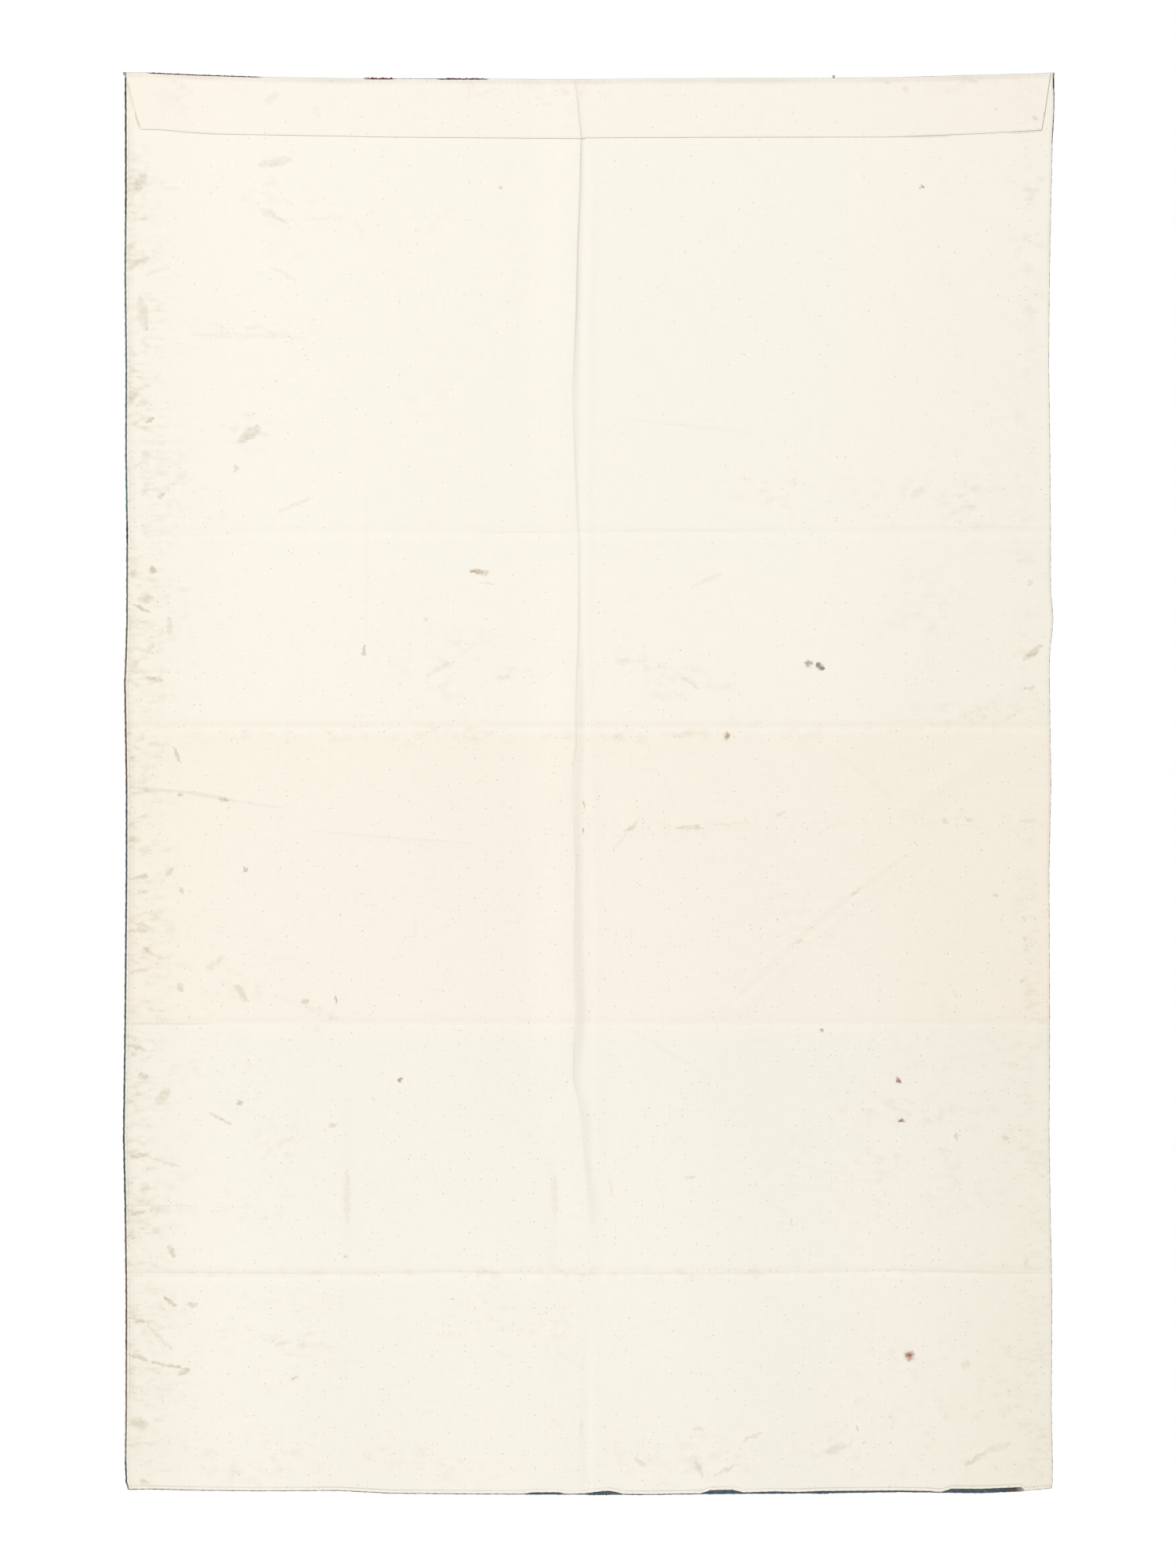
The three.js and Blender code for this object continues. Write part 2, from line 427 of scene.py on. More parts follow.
def raise_surface(tree, shader, height, strength, distance):
    """Feeds a height, in parts of distance, to the shader's normal."""
    bump = add(tree, "ShaderNodeBump", {"Height": height, "Strength": strength, "Distance": distance})
    tree.links.new(bump.outputs[0], shader.inputs["Normal"])


# Ribs of beaten-in wool weft over warps that run across, as a height and as a painted shade: darker in the
# furrows between the ribs, lighter on their tops, with the fibres' own unevenness.
RIB_PITCH = 2.5
RIB_WANDER = 2.0  # radians of a rib's turn
RIB_BETWEEN = 0.6  # how light the wool is between its ribs, to their 1.6
FUZZ = 0.7  # the height of the fibres, to the ribs' 1
FUZZ_DARKEST = 0.35
ribbed_wool, wool_in, wool_out = new_group(
    "ribbed wool", {"Vector": "Vector", "Rib": "Float"}, {"Height": "Float", "Shade": "Float"}
)
wool_height = add(ribbed_wool, "ShaderNodeSeparateXYZ", {0: wool_in["Vector"]}).outputs[2]
wool_wander = noise(ribbed_wool, wool_in["Vector"], (14, 14, 90))
rib_turn = maths(ribbed_wool, "DIVIDE", times(ribbed_wool, wool_height, math.pi), wool_in["Rib"])
rib_turn = plus(ribbed_wool, rib_turn, times(ribbed_wool, wool_wander, RIB_WANDER))
rib_height = maths(ribbed_wool, "ABSOLUTE", maths(ribbed_wool, "SINE", rib_turn))
fuzz = noise(ribbed_wool, wool_in["Vector"], (1500, 400, 260), detail=3)
wool_relief = plus(ribbed_wool, rib_height, times(ribbed_wool, fuzz, FUZZ))
rib_shade = plus(ribbed_wool, rib_height, RIB_BETWEEN)
wool_shade = times(ribbed_wool, rib_shade, plus(ribbed_wool, fuzz, FUZZ_DARKEST))
ribbed_wool.links.new(wool_relief, wool_out["Height"])
ribbed_wool.links.new(wool_shade, wool_out["Shade"])

BAND_RAGGED = 0.004  # how unevenly the woven bands meet, as a share of the cloth's drop
PALE_FLECKS = 0.35
wool, tree, shader, coordinates = new_material("wool tapestry weave", roughness=0.95, sheen=0.25)
ribs = placed(tree, ribbed_wool, {"Vector": coordinates, "Rib": RIB_PITCH * MM})
ragged = maths(tree, "SUBTRACT", noise(tree, coordinates, (40, 40, 160), detail=3), 0.5)
band_place = plus(tree, down_share(tree, coordinates), times(tree, ragged, BAND_RAGGED))
wool_colour = tones(tree, band_place, [(start / DROP, dye) for start, dye in WOOL_BANDS], "CONSTANT")
wool_colour = lay_over(tree, attribute(tree, "dye", "Alpha"), wool_colour, attribute(tree, "dye", "Color"))
fleck = ramp_up(tree, noise(tree, coordinates, (90, 90, 700), detail=3), 0.52, 0.72)
wool_colour = lay_over(tree, times(tree, fleck, PALE_FLECKS), wool_colour, display(176, 164, 142))
# painted shade: the wool darker in the furrows between its ribs and lighter on their tops
painted_rib_shade = ramp_up(tree, ribs["Shade"], 0.2, 1.6, 0.55, 1.15)
wool_colour = lay_over(tree, 1.0, wool_colour, painted_rib_shade, blend="MULTIPLY")
tree.links.new(wool_colour, shader.inputs["Base Color"])
raise_surface(tree, shader, ribs["Height"], strength=0.8, distance=0.7 * MM)

tapestry_weave.data.materials.append(wool)
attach(tapestry_weave, "root")
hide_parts("woven_panel")

# The lining
# One off-white cotton cloth over the whole back, its edges turned in and sewn to the wool a little
# inside the rim. Its slack lies over in a soft tuck down the middle.

COTTON_THICK = 1.2
LAYER_GAP = 0.35
LINING_FRONT = WOOL_THICK / 2 + LAYER_GAP
LINING_BACK = LINING_FRONT + COTTON_THICK
LINING_LEFT = 3.2  # how far inside the wool's edge the lining's edge lies, at the left
# The same at the right, by the distance down: most at the top corner.
RIGHT_BARE = table(
    "down bare", (-13, 1.2), (-9, 3.1), (15, 3.1), (24, 1.7), (118, 1.6), (130, 0.7), (2706, 0.7)
)
# How much of the wool the lining leaves bare above its top edge and below its foot.
TOP_BARE = table(
    "across bare",
    (-846, 0.7),
    (-838, 2.2),
    (-632, 1.8),
    (-620, 0.7),
    (-434, 0.7),
    (-422, 2.2),
    (-378, 2.2),
    (-366, 1.0),
    (-292, 1.2),
    (-280, 2.8),
    (-196, 2.8),
    (-186, 0.7),
)
FOOT_BARE = table(
    "across bare",
    (-882, 1.5),
    (-480, 1.2),
    (-140, 1.5),
    (-124, 4.4),
    (-80, 4.6),
    (-64, 1.5),
    (-30, 2.4),
    (0, 6.4),
    (14, 7.6),
    (28, 6.0),
    (44, 1.8),
    (216, 1.8),
    (234, 7.8),
    (276, 8.2),
    (298, 3.0),
    (357, 4.6),
    (400, 3.2),
    (448, 4.8),
    (655, 3.0),
    (668, 1.6),
    (678, 2.2),
    (696, 8.0),
    (827, 8.4),
    (835, 0.8),
)
# The tuck: where its crest runs, how high it stands off the panel, how much of that it drops at
# once, and how wide the slope is on which it loses the rest.
TUCK = table(
    "down crest high keen slope",
    (-2, -27, 0.7, 0.6, 10),
    (43, -21, 1.4, 0.6, 10),
    (112, -14, 1.6, 0.6, 9),
    (148, -15, 2.0, 0.6, 9),
    (208, -16, 1.9, 0.45, 8),
    (298, -20, 2.1, 0.55, 10),
    (448, -23.5, 2.5, 0.4, 10),
    (598, -30.5, 1.7, 0.15, 15),
    (748, -25, 1.3, 0.4, 9),
    (898, -18.5, 0.8, 0.4, 7),
    (1048, -18.5, 1.4, 0.5, 7),
    (1198, -25, 2.7, 0.15, 23),
    (1273, -24, 2.2, 0.35, 18),
    (1348, -33.5, 2.3, 0.0, 25),
    (1498, -23.5, 2.3, 0.2, 13),
    (1648, -27.5, 3.0, 0.1, 20),
    (1798, -25.5, 3.4, 0.0, 25),
    (1890, -29, 2.2, 0.3, 16),
    (1914, -28.5, 1.7, 0.4, 15),
    (1950, -19, 1.6, 0.3, 16),
    (1978, -15, 2.1, 0.1, 22),
    (2068, -7, 1.3, 0.15, 17),
    (2143, 3, 1.4, 0.1, 22),
    (2188, 3, 0.8, 0.1, 30),
    (2310, 3, 0.2, 0.1, 30),
    (2440, 3, 0.0, 0.1, 30),
)
TUCK_RISE = 95.0  # how wide the gentle slope is at the left of the crest
TUCK_DROP = 3.4  # how wide the keen part of the drop is at its right
TUCK_MIDDLE = -20.0
TUCK_STEPS = np.array([
    -95, -82, -70, -60, -50, -42, -36, -31, -27, -22, -17, -13, -9.5, -6.5, -4.2, -2.6, -1.4, -0.5, 0.4,
    1.2, 2.0, 2.8, 3.6, 4.8, 6.5, 8.5, 11, 14, 17, 20, 23.5, 27, 31, 35, 39, 44, 50,
])
TUCK_HOLD = 75.0  # this near to the middle the columns follow the crest exactly
TUCK_FADE = 190.0  # from here outwards they don't follow it
# A faint ridge beside the tuck, where the slack starts to lift: its place and its height. Under the
# tuck's end it turns into a shallow groove.
RIDGE = table(
    "down across high",
    (112, 0, 0.0),
    (148, 4.5, 0.2),
    (223, 10, 0.3),
    (373, 3, 0.3),
    (748, 0, 0.25),
    (1198, 1, 0.25),
    (1350, 9, 0.3),
    (1573, 18, 0.3),
    (2090, 18, 0.2),
    (2200, -2, 0.0),
    (2470, -1.5, -0.3),
    (2620, -1.5, -0.7),
    (2690, -1.5, -0.5),
)
RIDGE_HALF = 9.0
# Soft folds that lie aslant in the lining alone: their two ends, height and half width.
SOFT_FOLDS = table(
    "x_from down_from x_to down_to high half",
    (-880, 1353, -675, 1371, 0.7, 10),
    (-675, 1371, -450, 1438, 0.6, 10),
    (-540, 1440, -225, 1464, 0.6, 10),
    (615, 1496, 517, 1567, 0.9, 10),
    (517, 1567, 420, 1648, 1.0, 10),
    (420, 1648, 285, 1783, 0.8, 10),
    (771, 1291, 597, 1401, 0.8, 14),
    (465, 1270, 590, 1373, 0.6, 12),
    (38, 1469, 120, 1379, 0.4, 14),
    (30, 644, 315, 671, 0.35, 14),
    (75, 1799, 240, 1896, 0.35, 16),
    (-645, 1709, -405, 1814, 0.35, 18),
    (880, 1110, 700, 1225, 0.45, 24),
)
FOLD_ENDS = (-30, 20)  # where a soft fold starts and where it is full, along from either end
STITCH_PITCH = 13.5
# How far the stitches draw each edge of the lining in.
PULLED_IN = {"top": 0.8, "foot": 0.4, "left": 0.4, "right": 0.9}


def tuck(x, down):
    """How high the tuck and its ridge lift the cotton. Its rise and its drop meet at the crest."""
    beside = x - read(TUCK, down, "crest")
    keen = read(TUCK, down, "keen")
    slope = read(TUCK, down, "slope")
    share = smooth(-TUCK_RISE, -1.5, beside)
    share -= keen * smooth(-0.8, TUCK_DROP, beside) + (1 - keen) * smooth(-2, slope, beside)
    beside_ridge = (x - read(RIDGE, down, "across")) / RIDGE_HALF
    ridge = read(RIDGE, down, "high") * np.exp(-beside_ridge**2)
    return read(TUCK, down, "high") * share + ridge


def tuck_shift(across, z_down):
    """How far sideways the columns near the tuck move, so as to follow its crest."""
    follow = 1 - smooth(TUCK_HOLD, TUCK_FADE, np.abs(across - TUCK_MIDDLE))
    return follow * (read(TUCK, z_down, "crest") - TUCK_MIDDLE)


def soft_folds(x, down):
    """How high the lining's own soft folds lift it."""
    lift = np.zeros_like(x)
    for x1, d1, x2, d2, high, half in rows_of(SOFT_FOLDS):
        run = np.hypot(x2 - x1, d2 - d1)
        along = ((x - x1) * (x2 - x1) + (down - d1) * (d2 - d1)) / run
        beside = ((x - x1) * (d2 - d1) - (down - d1) * (x2 - x1)) / run
        ends = smooth(*FOLD_ENDS, along) * smooth(*FOLD_ENDS, run - along)
        lift = np.maximum(lift, high * ends * np.exp(-(beside / half) ** 2))
    return lift


def stitches_before(run):
    """How many slip stitches lie before a place along an edge. Hand sewing isn't quite even."""
    return (run + 2.4 * np.sin(run / 41) + 1.3 * np.sin(run / 17 + 0.8)) / STITCH_PITCH


def pulled(run, deep):
    """How far the stitches draw the lining's edge in: most at each stitch."""
    return deep * np.cos(np.pi * stitches_before(run)) ** 4


def place_lining(across, down):
    """The same for the lining, whose edges the stitches draw in."""
    from_left, from_right = across + HALF_WIDTH, HALF_WIDTH - across
    from_foot = DROP - down
    rise = read(ENDS, across, "rise") - read(TOP_BARE, across, "bare")
    sag = read(ENDS, across, "sag") - read(FOOT_BARE, across, "bare")
    rise = rise - (down == 0) * pulled(from_left, PULLED_IN["top"])
    sag = sag - (from_foot == 0) * pulled(from_left, PULLED_IN["foot"])
    z_down = down - near(down) * rise + near(from_foot) * sag
    left = read(SIDES, z_down, "left") - LINING_LEFT
    left = left - (from_left == 0) * pulled(down, PULLED_IN["left"])
    right = read(SIDES, z_down, "right") - read(RIGHT_BARE, z_down, "bare")
    right = right - (from_right == 0) * pulled(down, PULLED_IN["right"])
    x = across - near(from_left) * left + near(from_right) * right + tuck_shift(across, z_down)
    return x, z_down


# Old soiling: the middle and half sizes of its areas, in pixels, and how dark.
SOILED = table(
    "px py wide high dark",
    (350, 240, 46, 60, 0.22),
    (530, 278, 90, 16, 0.2),
    (330, 420, 80, 14, 0.3),
    (320, 550, 34, 34, 0.3),
    (240, 115, 90, 14, 0.2),
    (660, 118, 130, 12, 0.25),
    (1250, 107, 90, 12, 0.2),
    (215, 640, 50, 80, 0.25),
    (205, 765, 40, 60, 0.35),
    (190, 850, 40, 60, 0.3),
    (575, 842, 60, 44, 0.25),
    (650, 862, 30, 10, 0.5),
    (830, 846, 60, 12, 0.5),
    (1010, 620, 70, 34, 0.2),
    (1230, 640, 110, 36, 0.35),
    (1180, 790, 50, 50, 0.25),
    (1250, 912, 70, 16, 0.45),
    (1312, 330, 22, 220, 0.3),
    (1312, 620, 22, 160, 0.3),
    (1316, 850, 22, 60, 0.5),
    (880, 880, 60, 30, 0.25),
    (750, 937, 640, 9, 0.4),
    (190, 960, 44, 30, 0.35),
    (920, 1056, 90, 8, 0.5),
    (1260, 1046, 90, 10, 0.45),
    (1040, 1185, 50, 40, 0.25),
    (190, 1190, 40, 90, 0.4),
    (300, 1240, 60, 50, 0.3),
    (1310, 1200, 16, 110, 0.3),
    (430, 1300, 50, 20, 0.3),
    (280, 1365, 60, 44, 0.3),
    (1170, 1450, 130, 130, 0.27),
    (1290, 1400, 40, 120, 0.3),
    (360, 1460, 34, 30, 0.35),
    (325, 1535, 60, 26, 0.35),
    (190, 1540, 44, 80, 0.4),
    (750, 1624, 640, 6, 0.45),
    (354, 1704, 70, 50, 0.35),
    (640, 1690, 80, 40, 0.25),
    (200, 1700, 50, 70, 0.4),
    (1180, 1790, 130, 100, 0.22),
    (1300, 1800, 40, 110, 0.35),
    (320, 1868, 100, 30, 0.4),
    (520, 1868, 110, 26, 0.35),
    (900, 1862, 120, 30, 0.3),
    (1090, 1850, 80, 34, 0.3),
)
# The dark patches of the left edge: where they begin, roughly how far apart they lie, and the least
# and the most of their half sizes and their darkness.
GRIME_FROM = 170
GRIME_PITCH = 22.0
GRIME_WIDE = (14, 48)
GRIME_HIGH = (8, 22)
GRIME_DARK = (0.2, 0.9)
# How far in from each side the cotton has yellowed, and how much at the top and at the foot.
AGED = {"left": (260, 0.35, 0.5), "right": (520, 0.28, 0.9)}
# The grime of hands: how dark, how far in it holds and where it ends, and how far down it starts and
# where it is full.
HANDLED = {"left": (0.46, 10, 110, 60, 260), "right": (0.2, 20, 110, 900, 2000)}
PIXEL = 1.5  # millimetres of cloth in one pixel of the photograph
PICTURE_MIDDLE = 750
PICTURE_TOP = 101


def on_cloth(px, py):
    """The place across and the distance down, in millimetres, of a pixel of the photograph."""
    return (px - PICTURE_MIDDLE) * PIXEL, (py - PICTURE_TOP) * PIXEL


def soil_at(across, down):
    """How soiled the cotton is at each place, 0 to 1."""
    scatter = np.random.default_rng(41)
    soil = np.zeros_like(across)

    def smudge(x, y, half_wide, half_high, dark):
        away = ((across - x) / half_wide) ** 2 + ((down - y) / half_high) ** 2
        np.maximum(soil, dark * np.exp(-away), out=soil)

    for px, py, wide, high, dark in rows_of(SOILED):
        smudge(*on_cloth(px, py), wide * PIXEL, high * PIXEL, dark)
    for y in np.arange(GRIME_FROM, DROP, GRIME_PITCH):
        y += scatter.uniform(-GRIME_PITCH, GRIME_PITCH)
        sizes = [scatter.uniform(*least_most) for least_most in (GRIME_WIDE, GRIME_HIGH, GRIME_DARK)]
        smudge(-HALF_WIDTH, y, *sizes)
    return soil


def from_edges(across, down):
    """How far each place on the flat cloth lies from each of its edges."""
    return {"left": across + HALF_WIDTH, "right": HALF_WIDTH - across, "top": down, "foot": DROP - down}


def aged_at(across, down):
    """How much the cotton has yellowed, 0 to 1: most towards its sides and lower down."""
    aged = np.zeros_like(across)
    for side, (reach, at_top, at_foot) in AGED.items():
        amount = at_top + (at_foot - at_top) * smooth(0, DROP, down)
        aged += amount * (1 - smooth(0, reach, from_edges(across, down)[side]))
    return aged


def handled_at(across, down):
    """How grimy the sides are from being handled, 0 to 1: the left side far more than the right."""
    grime = np.zeros_like(across)
    for side, (dark, holds, ends, starts, full) in HANDLED.items():
        inwards = 1 - smooth(holds, ends, from_edges(across, down)[side])
        grime = np.maximum(grime, dark * inwards * smooth(starts, full, down))
    return grime


def cotton_marks(across, down):
    """What the cotton's material reads at each place, with the distance from each edge."""
    marks = {
        "soil": soil_at(across, down),
        "aged": aged_at(across, down),
        "handled": handled_at(across, down),
    }
    for edge, distance in from_edges(across, down).items():
        marks["from_" + edge] = distance
    return marks


LINING_COLUMNS = filled(
    [
        *(RIM_STEPS - HALF_WIDTH),
        *(HALF_WIDTH - RIM_STEPS),
        *(TUCK_MIDDLE + TUCK_STEPS),
        *FOOT_BARE["across"][1:],
        *TOP_BARE["across"],
    ],
    longest=17,
)
lining_cloth = hang_cloth(
    "lining_cloth",
    LINING_COLUMNS,
    ROWS,
    place=place_lining,
    face=lambda x, down: hang(x, down) - tuck(x, down) - soft_folds(x, down) - LINING_FRONT,
    thick=COTTON_THICK,
    rim_cuts=3,
    marks=cotton_marks,
)


def scaled(tree, vector, by):
    """A vector or a colour made that many times as large."""
    return add(tree, "ShaderNodeVectorMath", {0: vector, "Scale": by}, operation="SCALE").outputs[0]


# Plain weave: threads over and under each other, some thicker than the rest.
plain_weave, weave_in, weave_out = new_group(
    "plain weave", {"Vector": "Vector", "Pitch": "Float"}, {"Height": "Float", "Shade": "Float"}
)
weave_scale = maths(plain_weave, "DIVIDE", math.pi, weave_in["Pitch"])
weave_place = scaled(plain_weave, weave_in["Vector"], weave_scale)
weave_turn = add(plain_weave, "ShaderNodeSeparateXYZ", {0: weave_place}).outputs
over_under = times(
    plain_weave, maths(plain_weave, "SINE", weave_turn[0]), maths(plain_weave, "SINE", weave_turn[2])
)
slubs = plus(
    plain_weave,
    noise(plain_weave, weave_in["Vector"], (22, 22, 900), detail=1),
    noise(plain_weave, weave_in["Vector"], (900, 22, 22), detail=1),
)
plain_weave.links.new(plus(plain_weave, times(plain_weave, over_under, 0.5), slubs), weave_out["Height"])
plain_weave.links.new(slubs, weave_out["Shade"])

# Old dirt in a cloth: soft clouded smudges some 20 mm across, where the amount allows them.
blotches, blotch_in, blotch_out = new_group(
    "blotches", {"Vector": "Vector", "Amount": "Float"}, {"Mask": "Float"}
)
blotch_patches = ramp_up(blotches, noise(blotches, blotch_in["Vector"], (12, 12, 17)), 0.38, 0.62)
blotch_grain = ramp_up(blotches, noise(blotches, blotch_in["Vector"], (42, 42, 58), detail=5), 0.42, 0.8)
blotch_shape = times(blotches, blotch_patches, blotch_grain)
blotches.links.new(times(blotches, blotch_shape, blotch_in["Amount"]), blotch_out["Mask"])

# Seed flecks of the raw cotton and specks of dirt: one here and there, as often as chance says.
FLECK_LARGEST = 1.5 * MM
FLECK_FAINTEST = 0.2
flecks, fleck_in, fleck_out = new_group(
    "flecks", {"Vector": "Vector", "To the Metre": "Float", "Chance": "Float"}, {"Mask": "Float"}
)
fleck_turn = add(flecks, "ShaderNodeSeparateXYZ", {0: fleck_in["Vector"]}).outputs
fleck_flat = add(flecks, "ShaderNodeCombineXYZ", {0: fleck_turn[0], 1: fleck_turn[2]}).outputs[0]
fleck_cells = add(
    flecks,
    "ShaderNodeTexVoronoi",
    {"Vector": fleck_flat, "Scale": fleck_in["To the Metre"]},
    voronoi_dimensions="2D",
)
fleck_dice = add(flecks, "ShaderNodeSeparateColor", {0: fleck_cells.outputs["Color"]}).outputs
fleck_reach = times(flecks, times(flecks, fleck_in["To the Metre"], FLECK_LARGEST), fleck_dice[1])
fleck_reach = maths(flecks, "MAXIMUM", fleck_reach, 0.001)  # never 0, as it divides
fleck_edge = maths(flecks, "DIVIDE", fleck_cells.outputs["Distance"], fleck_reach)
fleck_spot = ramp_up(flecks, fleck_edge, 1.1, 0.6)
fleck_there = maths(flecks, "LESS_THAN", fleck_dice[0], fleck_in["Chance"])
fleck_dark = plus(flecks, times(flecks, fleck_dice[2], 1 - FLECK_FAINTEST), FLECK_FAINTEST)
fleck_mask = times(flecks, fleck_spot, times(flecks, fleck_there, fleck_dark))
flecks.links.new(fleck_mask, fleck_out["Mask"])

# One spot: a soft oval about its two ends, where the distances to both add up to little. It is laid
# over the mask of the spots before it.
SPOT_FLOATS = dict.fromkeys(("Outer", "Inner", "Dark", "Before"), "Float")
spot, spot_in, spot_out = new_group(
    "spot",
    {"Vector": "Vector", "One End": "Vector", "Other End": "Vector", **SPOT_FLOATS},
    {"Mask": "Float"},
)


def spot_away(end):
    """How far a place lies from one end of the spot."""
    inputs = {0: spot_in["Vector"], 1: spot_in[end]}
    return add(spot, "ShaderNodeVectorMath", inputs, operation="DISTANCE").outputs["Value"]


spot_both = plus(spot, spot_away("One End"), spot_away("Other End"))
spot_mask = ramp_up(spot, spot_both, spot_in["Outer"], spot_in["Inner"], 0.0, spot_in["Dark"])
spot.links.new(maths(spot, "MAXIMUM", spot_mask, spot_in["Before"]), spot_out["Mask"])

# A fine line along an edge, at its own distance from it.
edge_line, line_in, line_out = new_group(
    "edge line", {"Distance": "Float", "At": "Float", "Half": "Float"}, {"Mask": "Float"}
)
line_away = maths(edge_line, "ABSOLUTE", maths(edge_line, "SUBTRACT", line_in["Distance"], line_in["At"]))
line_share = maths(edge_line, "DIVIDE", line_away, line_in["Half"])
edge_line.links.new(ramp_up(edge_line, line_share, 1.0, 0.2), line_out["Mask"])

BROWN_STAIN = display(176, 148, 112)
DARK_STAIN = display(120, 98, 76)
RUST_STAIN = display(150, 96, 66)
GREY_STAIN = display(128, 124, 112)
# The stains: their two ends and half thickness in pixels, colour and strength.
STAINS = (
    (600, 728, 616, 730, 3.2, BROWN_STAIN, 0.6),
    (617, 731, 622, 731, 4.0, BROWN_STAIN, 0.35),
    (599, 729, 605, 729, 1.8, DARK_STAIN, 0.35),
    (1028, 844, 1035, 847, 3.4, DARK_STAIN, 0.6),
    (1042, 848, 1051, 854, 3.6, DARK_STAIN, 0.85),
    (1029, 850, 1035, 852, 2.4, BROWN_STAIN, 0.15),
    (926, 939, 928, 939, 4.2, BROWN_STAIN, 0.95),
    (509, 1378, 511, 1378, 3.3, BROWN_STAIN, 1.0),
    (303, 1408, 309, 1405, 2.8, DARK_STAIN, 0.38),
    (1143, 1380, 1148, 1377, 3.2, RUST_STAIN, 0.85),
    (1147, 1430, 1152, 1430, 2.8, RUST_STAIN, 0.9),
    (1159, 1729, 1161, 1729, 5.8, RUST_STAIN, 1.0),
    (465, 823, 465, 837, 2.2, BROWN_STAIN, 0.5),
    (1176, 239, 1177, 239, 1.8, GREY_STAIN, 0.8),
    (638, 239, 639, 239, 1.6, GREY_STAIN, 0.35),
    (541, 790, 544, 790, 2.6, BROWN_STAIN, 0.25),
    (195, 725, 195, 730, 4.4, BROWN_STAIN, 0.5),
    (312, 1105, 314, 1112, 1.5, DARK_STAIN, 0.4),
    (429, 1270, 429, 1280, 1.2, DARK_STAIN, 0.5),
    (1046, 1313, 1050, 1315, 1.4, DARK_STAIN, 0.55),
    (746, 1021, 746, 1030, 1.4, RUST_STAIN, 0.4),
    (745, 1056, 745, 1063, 1.4, RUST_STAIN, 0.45),
    (1219, 1445, 1220, 1455, 1.2, GREY_STAIN, 0.3),
    (1092, 1819, 1093, 1826, 1.4, DARK_STAIN, 0.28),
    (576, 1656, 578, 1656, 1.5, DARK_STAIN, 0.3),
    (174, 243, 184, 222, 6.0, RUST_STAIN, 0.13),
    (174, 334, 189, 330, 4.5, RUST_STAIN, 0.14),
)
